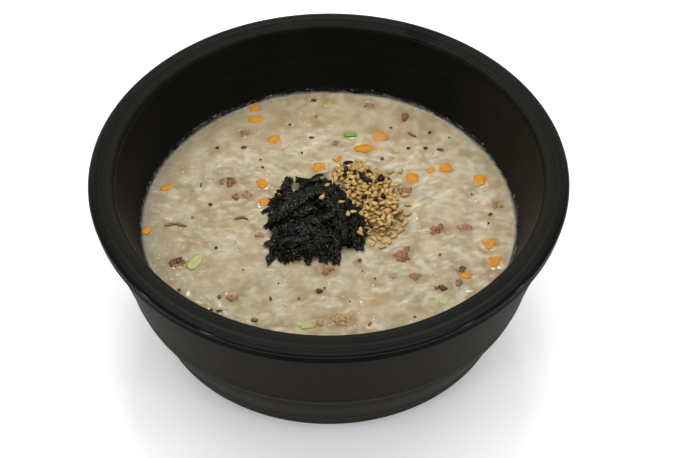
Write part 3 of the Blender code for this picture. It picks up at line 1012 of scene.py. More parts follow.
def congee_gel():
    finish = Finish("congee_gel", 0.2, **GEL_LIGHT)

    def stained(colour, share, stain):
        return finish.wire.node("ShaderNodeMix", {"data_type": "RGBA", "blend_type": "MULTIPLY"},
                                {0: share, 6: colour, 7: stain}, 2)

    cloud = finish.noise(60.0, 5.0)
    fine = finish.noise(1000.0)
    # the gel darkens with the thin field: clear gel in patches, and painted shade at the left and along the
    # near wall
    gel = (finish.kept("thin") * 0.7 + cloud.step(0.35, 0.65) * 0.3).mix((0.376, 0.304, 0.179, 1),
                                                                        (0.290, 0.228, 0.123, 1))
    look = (finish.kept("grain") * (0.80 + fine * 0.4)).step(0.0, 1.1).mix(gel, (0.446, 0.388, 0.268, 1))
    # oil from the carrot has spread in faint clouds, most at the right, and juice from the greens at the left
    right = finish.along(0).step(-0.050, 0.030)
    oiled = finish.noise(27.0).step(0.46, 0.62) * (0.25 + right * 0.75)
    look = stained(look, oiled, (1.0, 0.925, 0.865, 1))
    greened = finish.noise(38.0, 1.0).step(0.44, 0.62) * (1.0 - right * 0.8)
    look = stained(look, greened, (0.955, 0.985, 0.950, 1))
    # grains that have come apart lie in soft white clots, most of them at the right
    curd = finish.noise(280.0, 0.0).step(0.36, 0.80) * (cloud.step(0.40, 0.60) * 0.6 + 0.4)
    look = (curd * (0.36 + right * 0.20)).mix(look, (0.535, 0.495, 0.385, 1))
    # white specks, gathered here and there, are painted glints
    glint_speck = finish.cells(520.0).step(0.26, 0.06) * cloud.step(0.42, 0.56)
    some = finish.wire.node("ShaderNodeSeparateColor", inputs={0: finish.cells(520.0, 1)}).step(0.60, 1.0)
    look = (glint_speck * some * 0.8).mix(look, (0.78, 0.74, 0.66, 1))
    # what lies in it or under it has stained it
    carrot = finish.kept("carrot")
    look = (carrot * 1.5).step(0.0, 1.4).mix(look, (0.44, 0.245, 0.085, 1))
    look = carrot.step(0.45, 0.95).mix(look, (0.42, 0.165, 0.016, 1))
    look = (finish.kept("meat") * 0.85).mix(look, (0.215, 0.138, 0.080, 1))
    look = (finish.kept("green") * 0.6).mix(look, (0.27, 0.30, 0.07, 1))
    # at the wall it thins until the stone shows through it
    edge = finish.kept("film")
    # painted shade near the left wall
    look = (finish.kept("shallow") * 0.85).mix(look, (0.205, 0.178, 0.128, 1))
    look = (edge.step(0.0, 0.38) * 0.75).mix(look, (0.165, 0.143, 0.108, 1))
    look = edge.step(0.20, 0.70).mix(look, (0.022, 0.020, 0.016, 1))
    finish.feed("Base Color", look)
    patch = finish.noise(130.0).step(0.42, 0.60)
    finish.feed("Roughness", 0.06 + patch * 0.14 + edge.step(0.1, 0.4) * cloud.step(0.42, 0.60) * 0.35)
    lumps = finish.noise(380.0)
    finish.bump(0.35, 0.0004, fine * 0.5 + lumps * 0.4 + edge.step(0.05, 0.5) * (lumps * 2.0 + fine * 0.8))
    return finish.material


skin = place("congee_skin", skin_mesh(), "congee", [congee_gel()])
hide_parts("congee")

# ---------------------------------------------------------------------------
# The rice: grains swollen to twice their size, soft-edged and often split, lying
# where the stirring left them. Those that stand out of the skin are made here.
# ---------------------------------------------------------------------------
# how much of a grain has to stand out for it to be made, and how high the highest rise
PROUD_LEAST = 0.62
PROUD_RISE = 0.00030
PICK_SEED = 5


def grain_shape(bend, split):
    """One cooked grain a metre long, plump in the middle, bent and creased, its end a little split."""
    work = bmesh.new()
    bmesh.ops.create_uvsphere(work, u_segments=8, v_segments=7, radius=0.5)
    for vert in work.verts:
        x, y, z = vert.co.z, vert.co.x, vert.co.y
        full = 0.46 + 0.05 * math.cos(2.2 * x) + split * max(0, x - 0.2) * (1 if y > 0 else -0.6)
        vert.co = Vector((x, y * full + bend * (0.25 - x * x), z * full * (0.90 if y > 0 else 1.0)))
    return mesh_from(work, "grain_shape")


class Weave:
    """A Geometry Nodes tree under construction, whose nodes are added by name."""

    def __init__(self, name, sizes):
        self.tree = bpy.data.node_groups.new(name, "GeometryNodeTree")
        face = self.tree.interface
        face.new_socket("Geometry", in_out="INPUT", socket_type="NodeSocketGeometry")
        face.new_socket("Geometry", in_out="OUTPUT", socket_type="NodeSocketGeometry")
        self.keys = {}
        for label, (kind, _) in sizes.items():
            self.keys[label] = face.new_socket(label, in_out="INPUT", socket_type=kind).identifier
        self.values = {label: value for label, (_, value) in sizes.items()}
        self.start = self.tree.nodes.new("NodeGroupInput")
        self.end = self.tree.nodes.new("NodeGroupOutput")

    def node(self, kind, settings=None, inputs=None):
        made = self.tree.nodes.new(kind)
        for name, value in (settings or {}).items():
            setattr(made, name, value)
        for name, value in (inputs or {}).items():
            if isinstance(value, bpy.types.NodeSocket):
                self.tree.links.new(value, made.inputs[name])
            else:
                made.inputs[name].default_value = value
        return made

    def kept(self, name, kind="FLOAT"):
        """An attribute stored on the points, as an output."""
        made = self.node("GeometryNodeInputNamedAttribute", {"data_type": kind}, {"Name": name})
        return made.outputs["Attribute"]

    def grow(self, points, name):
        """Run the tree on a mesh of points, and give back what it makes as a plain mesh."""
        bed = bpy.data.objects.new(name, points)
        bpy.context.scene.collection.objects.link(bed)
        modifier = bed.modifiers.new("grow", "NODES")
        modifier.node_group = self.tree
        for label, key in self.keys.items():
            modifier[key] = self.values[label]
        ready = bed.evaluated_get(bpy.context.evaluated_depsgraph_get())
        mesh = bpy.data.meshes.new_from_object(ready)
        mesh.name = name
        bpy.data.objects.remove(bed)
        return mesh


def strewn(name, shapes, spots, material):
    """Copies of a few like shapes, each spot giving place, turn, scale and a tone, joined into one mesh."""
    patterns = bpy.data.collections.new(name + "_patterns")
    for i, shape in enumerate(shapes):
        patterns.objects.link(bpy.data.objects.new("%s_pattern_%d" % (name, i), shape))
    points = bpy.data.meshes.new(name + "_spots")
    points.from_pydata([spot[0] for spot in spots], [], [])
    for key, values in (("turn", [v for spot in spots for v in spot[1]]),
                        ("stretch", [v for spot in spots for v in spot[2]])):
        points.attributes.new(key, "FLOAT_VECTOR", "POINT").data.foreach_set("vector", values)
    points.attributes.new("tone", "FLOAT", "POINT").data.foreach_set("value", [spot[3] for spot in spots])
    weave = Weave(name, {
        "Patterns": ("NodeSocketCollection", patterns), "Kinds": ("NodeSocketInt", len(shapes) - 1),
        "Seed": ("NodeSocketInt", PICK_SEED), "Finish": ("NodeSocketMaterial", material)})
    start = weave.start.outputs
    source = weave.node("GeometryNodeCollectionInfo", inputs={
        "Collection": start["Patterns"], "Separate Children": True, "Reset Children": True})
    picks = {4: 0, 5: start["Kinds"], 8: start["Seed"]}
    which = weave.node("FunctionNodeRandomValue", {"data_type": "INT"}, picks)
    as_turn = weave.node("FunctionNodeEulerToRotation", inputs={0: weave.kept("turn", "FLOAT_VECTOR")})
    laid = weave.node("GeometryNodeInstanceOnPoints", inputs={
        "Points": start["Geometry"], "Instance": source.outputs[0], "Pick Instance": True,
        "Instance Index": which.outputs[2], "Rotation": as_turn.outputs[0],
        "Scale": weave.kept("stretch", "FLOAT_VECTOR")})
    real = weave.node("GeometryNodeRealizeInstances", inputs={"Geometry": laid.outputs["Instances"]})
    done = weave.node("GeometryNodeSetMaterial", inputs={
        "Geometry": real.outputs["Geometry"], "Material": start["Finish"]})
    weave.tree.links.new(done.outputs["Geometry"], weave.end.inputs["Geometry"])
    mesh = weave.grow(points, name)
    for pattern in list(patterns.objects):
        bpy.data.objects.remove(pattern)
    bpy.data.collections.remove(patterns)
    return mesh


def cooked_rice():
    finish = Finish("cooked_rice", 0.2, **GEL_LIGHT)
    cloud = finish.noise(500.0)
    pale = (finish.kept("tone") * 0.7 + cloud * 0.5).step(0.1, 1.0)
    finish.feed("Base Color", pale.mix((0.410, 0.350, 0.230, 1), (0.475, 0.420, 0.295, 1)))
    finish.feed("Roughness", 0.08 + cloud * 0.14)
    finish.bump(0.4, 0.0002, cloud)
    return finish.material


def proud_grains():
    spots = []
    for x, y, turn_by, size, proud, pale in grains:
        if proud < PROUD_LEAST:
            continue
        thick = GRAIN_WIDE * 0.46 * size
        z = pool.rest(x, y) + PROUD_RISE * proud - thick
        spots.append(((x, y, z), (rng.uniform(-0.4, 0.4), rng.uniform(-0.16, 0.16), turn_by),
                      (GRAIN_LONG * size, GRAIN_WIDE * 1.6 * size, GRAIN_WIDE * 1.8 * size), pale))
    return spots


rice_shapes = [grain_shape(0.06, 0.0), grain_shape(0.25, 0.25), grain_shape(0.14, 0.5)]
place("rice_grains", strewn("rice_grains", rice_shapes, proud_grains(), cooked_rice()), "congee")

# ---------------------------------------------------------------------------
# The seaweed: roasted laver torn into strips and flakes and dropped in a heap.
# It has drunk from the congee, so it sags and crumples over itself with a wet,
# grainy shine, and its torn ends lie out on the skin.
# ---------------------------------------------------------------------------
HEAP_EDGE = 0.0012
LEAF_THICK = 0.00022
SCRAP_THICK = 0.00016
FLAKE_COUNT = 400
SLIVER_COUNT = 120


class Mound:
    """A heap on the congee: where it stands, how high, and how far it spreads at each angle."""

    def __init__(self, at, high, edge):
        self.at, self.high = at, high
        self.edge = list(edge) + [(edge[0][0] + 360, edge[0][1])]

    def reach(self, degrees):
        degrees %= 360
        for (a, near), (b, far) in zip(self.edge, self.edge[1:]):
            if a <= degrees <= b:
                return near + (far - near) * (degrees - a) / (b - a)

    def out(self, degrees, far):
        """The place this far from the middle, at an angle."""
        around = math.radians(degrees)
        return self.at[0] + far * math.cos(around), self.at[1] + far * math.sin(around)

    def share(self, x, y):
        """0 in the middle, 1 at the edge."""
        x, y = x - self.at[0], y - self.at[1]
        return math.hypot(x, y) / self.reach(math.degrees(math.atan2(y, x)))

    def top(self, x, y):
        share = min(1.0, self.share(x, y))
        edge = HEAP_EDGE * min(1.0, (1 - share) * 6)
        return max(pool.top(x, y), settled(x, y) + edge + (self.high - HEAP_EDGE) * (1 - share ** 2) ** 0.8)

    def spot(self, least, most):
        """A random place between two shares of the way out, even over the area."""
        degrees = rng.uniform(0, 360)
        return self.out(degrees, self.reach(degrees) * math.sqrt(rng.uniform(least ** 2, most ** 2)))

    def bed(self, name, fill, lumps, rings=34, steps=150):
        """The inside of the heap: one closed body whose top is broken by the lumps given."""
        points, faces = [(self.at[0], self.at[1], self.top(*self.at) + lumps(*self.at))], []
        for ring in range(1, rings + 1):
            for step in range(steps):
                degrees = 360 * step / steps
                x, y = self.out(degrees, self.reach(degrees) * fill(degrees) * ring / rings)
                points.append((x, y, self.top(x, y) + lumps(x, y) * (1 - (ring / rings) ** 6)))
        for step in range(steps):
            after = (step + 1) % steps
            faces.append([0, 1 + step, 1 + after])
            for ring in range(rings - 1):
                a = 1 + ring * steps
                faces.append([a + step, a + steps + step, a + steps + after, a + after])
            x, y, _ = points[1 + (rings - 1) * steps + step]
            points.append((x, y, settled(x, y) - 0.0012))
        low = 1 + rings * steps
        for step in range(steps):
            after = (step + 1) % steps
            faces.append([low - steps + step, low + step, low + after, low - steps + after])
        faces.append([low + step for step in reversed(range(steps))])
        mesh = bpy.data.meshes.new(name)
        mesh.from_pydata(points, [], faces)
        return mesh


SEAWEED_EDGE = (
    (0, 0.0185), (30, 0.0165), (60, 0.0185), (90, 0.0215), (110, 0.0230), (127, 0.0235), (150, 0.0205),
    (180, 0.0205), (200, 0.0195), (220, 0.0250), (235, 0.0285), (255, 0.0235), (272, 0.0225),
    (284, 0.0250), (300, 0.0205), (318, 0.0240), (340, 0.0225))
seaweed_mound = Mound((-0.005, 0.001), 0.0066, SEAWEED_EDGE)

# each strip: how wide in millimetres, how far above the heap, and its way over it
STRIPS = (
    (6.6, 1.5, ((-21.6, -4.2), (-17.6, 0.2), (-12.8, 4.1), (-7.6, 8.0), (-2.8, 11.3), (2.9, 15.2))),
    (2.2, 0.3, ((-26.6, 4.7), (-23.8, 6.9), (-21.0, 9.1), (-17.8, 10.2))),
    (1.4, 0.3, ((-21.4, 10.8), (-21.0, 13.6), (-19.8, 15.3))),
    (3.6, 0.4, ((-16.0, 23.4), (-17.0, 18.3), (-17.4, 14.9), (-15.3, 10.9))),
    (1.5, 0.5, ((-12.9, 17.7), (-10.5, 20.5), (-6.8, 22.8), (-3.6, 25.0), (-1.5, 25.6))),
    (2.6, 0.5, ((-11.7, 15.0), (-8.4, 17.2), (-5.2, 18.9), (-1.9, 19.5))),
    (4.6, 0.6, ((-5.6, 20.6), (-2.0, 18.9), (1.3, 17.2), (3.7, 18.8))),
    (2.8, 0.3, ((-25.3, -4.2), (-22.9, -1.4), (-20.1, 1.3))),
    (3.2, 0.3, ((-24.2, -23.8), (-22.3, -18.4), (-20.8, -13.5), (-18.4, -9.7))),
    (4.8, 0.4, ((-15.9, -23.3), (-16.0, -17.4), (-14.8, -12.0))),
    (3.8, 0.5, ((-8.4, -23.9), (-8.8, -18.5), (-10.0, -13.6), (-10.4, -9.3))),
    (4.4, 0.4, ((-0.5, -22.4), (-2.9, -18.6), (-4.8, -15.3))),
    (3.2, 0.4, ((2.3, -24.6), (3.1, -18.6), (4.3, -13.8), (4.7, -9.9))),
    (4.2, 0.5, ((12.6, -17.1), (11.1, -12.2), (9.5, -8.3), (8.0, -5.0))),
    (3.8, 0.6, ((16.0, -1.5), (12.8, -0.9), (9.2, 0.8), (6.4, 3.1))),
    (3.8, 0.5, ((9.1, -7.6), (11.2, -3.8), (13.2, -1.0))),
    (3.6, 0.7, ((-19.5, -11.9), (-14.4, -9.7), (-8.4, -8.1))),
    (3.8, 0.7, ((-17.9, -18.0), (-12.8, -16.4), (-7.6, -14.8))),
    (4.4, 0.9, ((-14.0, -3.0), (-8.4, -1.4), (-2.8, 1.9))),
    (3.4, 0.7, ((0.4, 4.5), (3.6, -0.5), (5.6, -6.0))),
    (3.2, 0.7, ((2.0, -5.1), (4.7, -10.0), (6.3, -14.4))),
    (3.6, 0.9, ((-6.8, -6.9), (-1.6, -4.7), (3.2, -2.0))),
    (3.2, 0.6, ((-18.9, 9.6), (-14.9, 7.9), (-10.4, 9.5))),
    (3.6, 0.7, ((-0.7, 13.9), (2.1, 9.4), (4.0, 4.4))),
    (3.2, 0.6, ((-6.4, -13.7), (-2.8, -15.4), (1.1, -14.9))),
    (3.4, 0.5, ((-21.5, -13.8), (-17.6, -12.2), (-13.2, -11.7))))


def wet_laver(name, shine, darkest, lightest):
    finish = Finish(name, 0.3, Specular_IOR_Level=shine)
    grit = finish.noise(1050.0)
    patch = finish.noise(160.0)
    leaf = (grit * 0.5 + patch * 0.5).step(0.38, 0.66).mix(darkest, lightest)
    # its torn edges are thin enough to let a little green through
    leaf = (finish.kept("tone") * patch.step(0.45, 0.7) * 0.8).mix(leaf, (0.019, 0.018, 0.005, 1))
    # grey specks painted on as glints, and a grainy wet skin
    beads = finish.cells(1150.0)
    glint_specks = beads.step(0.34, 0.14) * patch.step(0.44, 0.60) * grit.step(0.42, 0.58)
    finish.feed("Base Color", (glint_specks * 0.9).mix(leaf, (0.20, 0.20, 0.18, 1)))
    finish.feed("Roughness", 0.10 + patch.step(0.4, 0.65) * 0.16)
    finish.bump(0.8, 0.0006, finish.noise(420.0, 3.0) + grit * 0.30 - beads * 0.35)
    return finish.material


def seaweed_lumps(x, y):
    fold = noise.noise(Vector((x * 210, y * 210, 3.0)))
    return 0.0022 * (0.30 - abs(fold)) + 0.0009 * noise.noise(Vector((x * 620, y * 620, 8.0))) - 0.0006


def seaweed_fill(degrees):
    """How much of the way out the heap is packed: at the far left only single strips lie there."""
    return 0.88 - 0.30 * math.exp(-((degrees - 122) / 22) ** 2)


laver = wet_laver("wet_laver", 0.10, (0.0012, 0.0012, 0.0007, 1), (0.0038, 0.0036, 0.0019, 1))
packed = seaweed_mound.bed("seaweed_core", seaweed_fill, seaweed_lumps)
core = place("seaweed_core", packed, "seaweed", [laver])
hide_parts("seaweed_heap")

torn = Heap()
for wide, lift, path in STRIPS:
    points, faces, edge = strip_body([(x * MM, y * MM) for x, y in path], wide * MM, LEAF_THICK,
                                     lambda x, y: seaweed_mound.top(x, y) + lift * MM, 0.0011,
                                     rng.uniform(0, 99), 13, 0.00035, 0.70, 0.0018)
    torn.add(points, faces, edge)
place("seaweed_strips", torn.mesh("seaweed_strips"), "seaweed", [laver], smooth=50)


def scrap_shape(name, path, wide, crumple, seed, step, ends):
    """One small torn scrap, crumpled, at its real size."""
    points, faces, edge = strip_body(path, wide, SCRAP_THICK, lambda x, y: 0.0, crumple, seed,
                                     5, step, ends, 0.0012)
    scrap = Heap()
    scrap.add(points, faces, edge)
    return scrap.mesh(name)


def flake_shape(seed):
    """A flake as wide as it is long."""
    path = [(-0.0016, 0), (0, 0.0003), (0.0016, 0)]
    return scrap_shape("flake_shape", path, 0.0026, 0.0009, seed, 0.0006, 0.75)


def sliver_shape(seed):
    """A pointed splinter of leaf, as a sheet gives where it is torn across."""
    path = [(-0.0020, 0), (-0.0008, 0.0002), (0.0008, -0.0001), (0.0020, 0.0002)]
    return scrap_shape("sliver_shape", path, 0.0019, 0.0006, seed, 0.0004, 0.40)


def sliver_spots():
    """They stick out all round the heap, low down, and here and there on top of it."""
    spots = []
    for k in range(SLIVER_COUNT):
        x, y = seaweed_mound.spot(0.80, 0.96) if k % 4 else seaweed_mound.spot(0.1, 0.8)
        out = seaweed_mound.share(x, y)
        if x > 0.004 and y > 0.006:
            continue
        size = rng.uniform(0.5, 1.15)
        away = math.atan2(y - seaweed_mound.at[1], x - seaweed_mound.at[0]) + rng.gauss(0, 0.55)
        spots.append(((x, y, seaweed_mound.top(x, y) + rng.uniform(0.0002, 0.0006)),
                      (rng.uniform(-0.5, 0.5), rng.gauss(0.08, 0.12),
                       away if out > 0.75 else rng.uniform(0, 6.28)),
                      (size, size * rng.uniform(0.6, 1.3), size), 0.3))
    return spots


def flake_spots():
    spots = []
    for k in range(FLAKE_COUNT):
        x, y = seaweed_mound.spot(0.0, 0.85) if k % 2 else seaweed_mound.spot(0.78, 0.98)
        out = seaweed_mound.share(x, y)
        if out > 0.6 and x < -0.006 and y > 0.010:
            continue
        size = rng.uniform(0.45, 1.25) * (1 - 0.35 * out)
        tilt = 0.8 * (1 - 0.6 * out)
        spots.append(((x, y, seaweed_mound.top(x, y) + rng.uniform(-0.0002, 0.0011) * (1.2 - out)),
                      (rng.uniform(-tilt, tilt), rng.uniform(-tilt, tilt), rng.uniform(0, 6.28)),
                      (size, size * rng.uniform(0.6, 1.0), size), 0.3))
    return spots


flake_shapes = [flake_shape(seed) for seed in (1.0, 7.0, 19.0, 31.0)]
place("seaweed_flakes", strewn("seaweed_flakes", flake_shapes, flake_spots(), laver), "seaweed", smooth=0)
sliver_shapes = [sliver_shape(seed) for seed in (3.0, 11.0, 23.0)]
place("seaweed_slivers", strewn("seaweed_slivers", sliver_shapes, sliver_spots(), laver), "seaweed", smooth=0)

# ---------------------------------------------------------------------------
# The sesame: hulled seeds toasted gold, poured beside the seaweed. Flat drops
# about 3 mm long, each darker at its tip, lying every way over the ones beneath.
# ---------------------------------------------------------------------------
SESAME_EDGE = (
    (0, 0.0086), (25, 0.0074), (45, 0.0094), (62, 0.0124), (78, 0.0158), (92, 0.0182), (106, 0.0216),
    (120, 0.0246), (131, 0.0240), (142, 0.0204), (158, 0.0156), (172, 0.0122), (185, 0.0108), (215, 0.0088),
    (245, 0.0122), (262, 0.0182), (276, 0.0216), (295, 0.0188), (315, 0.0147), (338, 0.0108))
sesame_mound = Mound((0.019, 0.010), 0.0030, SESAME_EDGE)
# the seeds are poured in two layers, each with this many tries at a free place
LAYER_TRIES = 4000
SEED_LONG = (0.0029, 0.0036)
STRAY_LONG = (0.0030, 0.0036)
# single seeds that fell beside it: across and away in millimetres, and their turn in degrees
STRAYS = (
    (5.2, 4.1, 5), (9.8, -0.6, 0), (7.6, -2.5, 90), (12.7, -8.9, 95), (-2.6, 5.9, 60), (-0.7, 14.3, 30),
    (16.0, -1.9, -30), (16.1, -8.0, 10), (18.1, -10.7, -55), (20.3, -10.8, -50), (21.7, -8.0, 30),
    (21.2, -14.9, 15), (19.6, -5.3, 80), (24.8, -4.2, 0), (27.2, -4.8, 10), (12.5, -10.7, -40),
    (18.0, -4.7, 80), (31.2, 13.8, 20), (25.5, 27.2, 20), (29.6, 27.8, 60), (3.2, 35.0, 30),
    (12.4, 33.6, -20), (31.6, 3.0, 15), (30.8, -1.5, 50), (29.0, -5.6, 20), (26.0, -9.2, 25),
    (24.2, -12.0, 70), (32.0, 8.2, -20), (27.9, 20.0, 40), (19.8, 27.6, 10), (17.5, -13.2, 60))


def seed_shape(plump, bent):
    """One toasted seed a metre long: blunt at one end, drawn to a tip at the other."""
    work = bmesh.new()
    bmesh.ops.create_uvsphere(work, u_segments=9, v_segments=7, radius=0.5)
    for vert in work.verts:
        x, y, z = vert.co.z, vert.co.x, vert.co.y
        vert.co = Vector((x, y * (plump - 0.52 * x) + bent * (0.25 - x * x), z * (plump * 0.56 - 0.24 * x)))
    mesh = mesh_from(work, "seed_shape")
    tip = mesh.attributes.new("tip", "FLOAT", "POINT")
    tip.data.foreach_set("value", [max(0.0, vert.co.x * 2) ** 2 for vert in mesh.vertices])
    return mesh


def toasted(name, darkest, lightest):
    finish = Finish(name, 0.4, Specular_IOR_Level=0.35, Subsurface_Weight=0.3, Subsurface_Scale=0.0008,
                    Subsurface_Radius=(1.0, 0.6, 0.3))
    cloud = finish.noise(700.0, 3.0)
    hull = (finish.kept("tone") * 0.8 + cloud * 0.8 - 0.3).step(0.0, 1.0).mix(darkest, lightest)
    finish.feed("Base Color", (finish.kept("tip") * 0.6).mix(hull, (0.16, 0.070, 0.018, 1)))
    finish.feed("Roughness", 0.28 + cloud * 0.3)
    finish.bump(0.3, 0.0002, cloud)
    return finish.material


def sesame_lumps(x, y):
    near = noise.voronoi(Vector((x * 480, y * 480, 0.4)))[0][0]
    return 0.0009 * (0.5 - near) - 0.0007


def sesame_fill(degrees):
    """How much of the way out the heap is packed: less on the eater's side, where it thins out."""
    return 0.93 - 0.24 * math.exp(-((degrees - 290) / 42) ** 2)


def seed_spots():
    spots, taken = [], []
    for tries in range(2 * LAYER_TRIES):
        x, y = sesame_mound.spot(0.0, 1.04)
        layer = tries // LAYER_TRIES
        # on the eater's side and the right the heap thins out to single seeds
        sparse = sesame_mound.share(x, y) > 0.80 and y < 0.012 and x > 0.016
        if sparse and layer:
            continue
        apart = 0.0017 + 0.0010 * layer + 0.0012 * sparse
        if any(k == layer and (x - a) ** 2 + (y - b) ** 2 < apart ** 2 for a, b, k in taken):
            continue
        taken.append((x, y, layer))
        size = rng.uniform(*SEED_LONG)
        out = sesame_mound.share(x, y)
        base = max(sesame_mound.top(x, y), seaweed_mound.top(x, y) if seaweed_mound.share(x, y) < 1 else 0)
        spots.append(((x, y, base + (0.0001 + 0.0007 * layer) * (1.15 - out * 0.5)),
                      (rng.gauss(0, 0.35), rng.gauss(0, 0.22), rng.uniform(0, 6.28)),
                      (size, size, size), min(1, max(0, rng.gauss(0.45 + 0.25 * layer, 0.25)))))
    for x, y, turn_by in STRAYS:
        x, y, size = x * MM, y * MM, rng.uniform(*STRAY_LONG)
        on_seaweed = seaweed_mound.share(x, y) < 0.95
        base = max(pool.top(x, y), seaweed_mound.top(x, y) + 0.0012 if on_seaweed else 0)
        spots.append(((x, y, base + 0.0003), (rng.gauss(0, 0.2), rng.gauss(0, 0.1), math.radians(turn_by)),
                      (size, size, size), rng.uniform(0.4, 0.9)))
    return spots


gold = toasted("toasted_gold", (0.270, 0.138, 0.021, 1), (0.48, 0.330, 0.108, 1))
# the bed under the seeds takes a darker copy of their colour: painted shade
shaded_seeds = toasted("seeds_beneath_shaded", (0.150, 0.080, 0.022, 1), (0.33, 0.200, 0.062, 1))
bed = place("sesame_bed", sesame_mound.bed("sesame_bed", sesame_fill, sesame_lumps), "sesame", [shaded_seeds])
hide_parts("sesame_heap")
seed_shapes = [seed_shape(0.54, 0.0), seed_shape(0.60, 0.08), seed_shape(0.50, -0.10)]
place("sesame_seeds", strewn("sesame_seeds", seed_shapes, seed_spots(), gold), "sesame")

# ---------------------------------------------------------------------------
# The black crumbs: rolled scraps of the same laver that fell on the sesame, 1 to
# 6 mm long, dull and rough, and finer crumbs of it on the heap beside them.
# ---------------------------------------------------------------------------
# each: across and away at one end and at the other, and how thick, all in millimetres
CRUMBS = (
    (6.3, 31.5, 9.6, 32.0, 1.2), (7.2, 27.6, 7.0, 24.6, 1.5), (6.2, 23.2, 6.9, 22.2, 1.7),
    (10.4, 25.2, 10.7, 22.8, 1.2), (12.6, 23.4, 15.3, 18.6, 2.0), (15.1, 19.2, 17.4, 17.6, 2.2),
    (15.4, 25.6, 17.4, 24.2, 1.1), (21.3, 22.4, 21.4, 18.9, 2.3), (23.6, 22.6, 25.0, 22.3, 1.3),
    (20.2, 16.3, 21.9, 16.0, 0.9), (13.0, 8.2, 15.4, 10.4, 1.5), (21.2, 10.3, 22.8, 8.6, 1.7),
    (18.2, 8.0, 19.9, 6.6, 1.5), (14.0, -5.2, 14.2, -6.0, 1.0), (16.4, -6.0, 17.5, -6.4, 1.1),
    (8.8, 17.0, 9.4, 16.2, 0.7), (19.4, 20.6, 20.0, 19.6, 0.6), (10.2, 14.2, 11.0, 13.8, 0.7),
    (7.0, 14.8, 7.5, 13.6, 0.8))
FINE_CRUMBS = 60
scraps = Heap()
for x, y, end_x, end_y, thick in CRUMBS:
    x, y, end_x, end_y, thick = x * MM, y * MM, end_x * MM, end_y * MM, thick * MM
    middle_x, middle_y = (x + end_x) / 2, (y + end_y) / 2
    top = max(sesame_mound.top(middle_x, middle_y), pool.top(middle_x, middle_y)) + 0.0011
    scraps.add(*crumb(rng.uniform(0, 99)), 0.2,
               laid(middle_x, middle_y, top, math.atan2(end_y - y, end_x - x), (rng.uniform(-0.5, 0.5), 0.06),
                    (math.hypot(end_x - x, end_y - y) * 1.15, thick * 1.15, thick)))
for _ in range(FINE_CRUMBS):
    x, y = rng.gauss(0.0078, 0.0016), rng.gauss(0.0135, 0.0026)
    size = rng.uniform(0.0003, 0.0008)
    points, faces = crumb(rng.uniform(0, 99), 1)
    tone = rng.choice((0.2, 0.2, 1.0))
    top = seaweed_mound.top(x, y) + 0.0013
    at = laid(x, y, top, rng.uniform(0, 6), (0, 0), (size * 1.4, size, size))
    scraps.add(points, faces, tone, at)
dry_laver = wet_laver("dry_laver", 0.08, (0.0060, 0.0060, 0.0050, 1), (0.0150, 0.0148, 0.0115, 1))
place("laver_crumbs", scraps.mesh("laver_crumbs"), "seaweed", [dry_laver], smooth=50)

# ---------------------------------------------------------------------------
# What the stirring left on the wall: a thin dried-on film of gel just above the
# congee, beads of it along its edge, and a few drops near the lip.
# ---------------------------------------------------------------------------
# each drop: round the bowl in degrees, below the rim and across in millimetres, how long, and how milky,
# which also paints a glint on it
LIP_DROPS = (
    (100.6, 2.3, 0.4, 1.6, 0.3), (99.2, 2.4, 0.3, 1.0, 0.4), (98.4, 2.2, 0.4, 1.3, 0.3),
    (66.0, 2.2, 0.5, 2.6, 0.1), (64.0, 2.3, 0.5, 3.0, 0.1), (62.4, 2.1, 0.4, 1.4, 1.0),
    (61.2, 2.5, 0.5, 2.6, 0.1), (59.8, 2.3, 0.4, 1.2, 1.0), (58.6, 2.7, 0.4, 2.2, 0.1),
    (68.4, 2.2, 0.4, 2.4, 0.1), (63.2, 2.8, 0.3, 1.4, 0.2), (57.4, 2.6, 0.4, 2.0, 0.1))
FILM_THICK = 0.00016
BEAD_COUNT = 130
CLOT_COUNT = 26


def on_wall(degrees, z, off=0.0):
    """A place on the inner wall, off it by a little."""
    r = inner_r(z) - off
    return Vector((r * math.cos(math.radians(degrees)), r * math.sin(math.radians(degrees)), z))


def film_mesh():
    """A thin ring of film up the wall from the congee's edge, its upper edge ragged."""
    steps, rows = 480, 5

    def build(work):
        ring = []
        for step in range(steps):
            around = 2 * math.pi * step / steps
            spot = Vector((math.cos(around), math.sin(around), 0))
            foot = LEVEL + 0.45 * climb_at(around)
            high = max(0.0005, 0.0012 + 0.0010 * noise.noise(spot * 23) + 0.0006 * noise.noise(spot * 70))
            shares = [row / (rows - 1) for row in range(rows)]
            line = [(foot + high * share, FILM_THICK * (1 - share) + 0.00004) for share in shares]
            line += [(foot + high * share, -0.0002) for share in reversed(shares)]
            ring.append([work.verts.new(on_wall(math.degrees(around), z, off)) for z, off in line])
        for here, after in zip(ring, ring[1:] + ring[:1]):
            for k in range(len(here)):
                work.faces.new([here[k], after[k], after[k - 1], here[k - 1]])
    film = Heap()
    film.add(*body(build), 0.5)
    return film.mesh("wall_film")


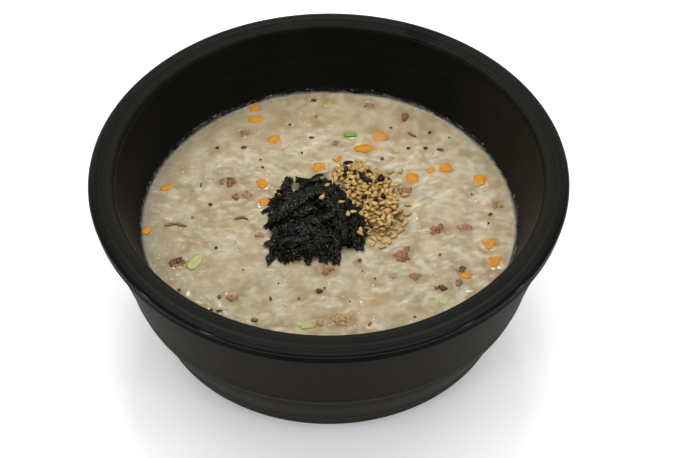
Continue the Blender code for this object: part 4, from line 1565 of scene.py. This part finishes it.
def dried_film():
    finish = Finish("dried_film", 0.25, Specular_IOR_Level=0.05)
    cloud = finish.noise(420.0, 4.0)
    low = finish.along(2).step(LEVEL + 0.0026, LEVEL + 0.0006) * cloud.step(0.35, 0.65)
    finish.feed("Base Color", low.mix((0.0055, 0.0055, 0.0050, 1), (0.024, 0.022, 0.018, 1)))
    finish.feed("Roughness", 0.12 + cloud * 0.3)
    finish.bump(0.6, 0.0003, cloud)
    return finish.material


place("wall_film", film_mesh(), "congee", [dried_film()])


def bead_shape():
    """One drop a metre across, flat where it clings."""
    work = bmesh.new()
    bmesh.ops.create_icosphere(work, subdivisions=2, radius=0.5)
    for vert in work.verts:
        vert.co.z = max(vert.co.z, -0.12)
    return mesh_from(work, "bead_shape")


def bead_spots():
    """Places, turns and sizes of the beads: most just above the congee, on the far side and the sides."""
    spots = []
    steep = math.atan(INNER_TAPER)

    def drop(around, z, size, long=1.0, tone=0.5, flow=0.0):
        """flow turns the drop's long way from round the wall to down it, in radians."""
        facing = Matrix.Rotation(math.radians(around), 3, "Z") @ Matrix.Rotation(-math.pi / 2 + steep, 3, "Y")
        turned = (facing @ Matrix.Rotation(math.pi / 2 + flow, 3, "Z")).to_euler()
        spots.append((tuple(on_wall(around, z, 0.00005)), tuple(turned),
                      (size * long, size, size * 0.55), tone))

    clots = [rng.uniform(-15, 195) for _ in range(CLOT_COUNT)]
    for k in range(BEAD_COUNT):
        around = rng.gauss(rng.choice(clots), 1.8) if k % 4 else rng.uniform(-15, 195)
        height = 0.64 * climb_at(math.radians(around)) + rng.gauss(0.0002, 0.00025)
        drop(around, LEVEL + height, rng.uniform(0.00034, 0.00072), rng.uniform(1.0, 3.6), rng.random(),
             rng.gauss(0, 0.2))
    for around, below, size, long, tone in LIP_DROPS:
        drop(around, RIM_Z - below * MM, size * MM, long, tone, rng.uniform(-0.4, 0.4))
    return spots


def wet_bead():
    finish = Finish("wet_bead", 0.08, Specular_IOR_Level=0.9)
    cloud = finish.noise(900.0)
    # milkier beads are lighter: partly the gel's own colour, partly painted glints
    milk_and_glint = finish.kept("tone") * cloud * 1.6
    finish.feed("Base Color", milk_and_glint.mix((0.008, 0.0078, 0.0066, 1), (0.17, 0.155, 0.125, 1)))
    finish.feed("Roughness", 0.06 + cloud * 0.08)
    return finish.material


place("wall_beads", strewn("wall_beads", [bead_shape()], bead_spots(), wet_bead()), "congee")
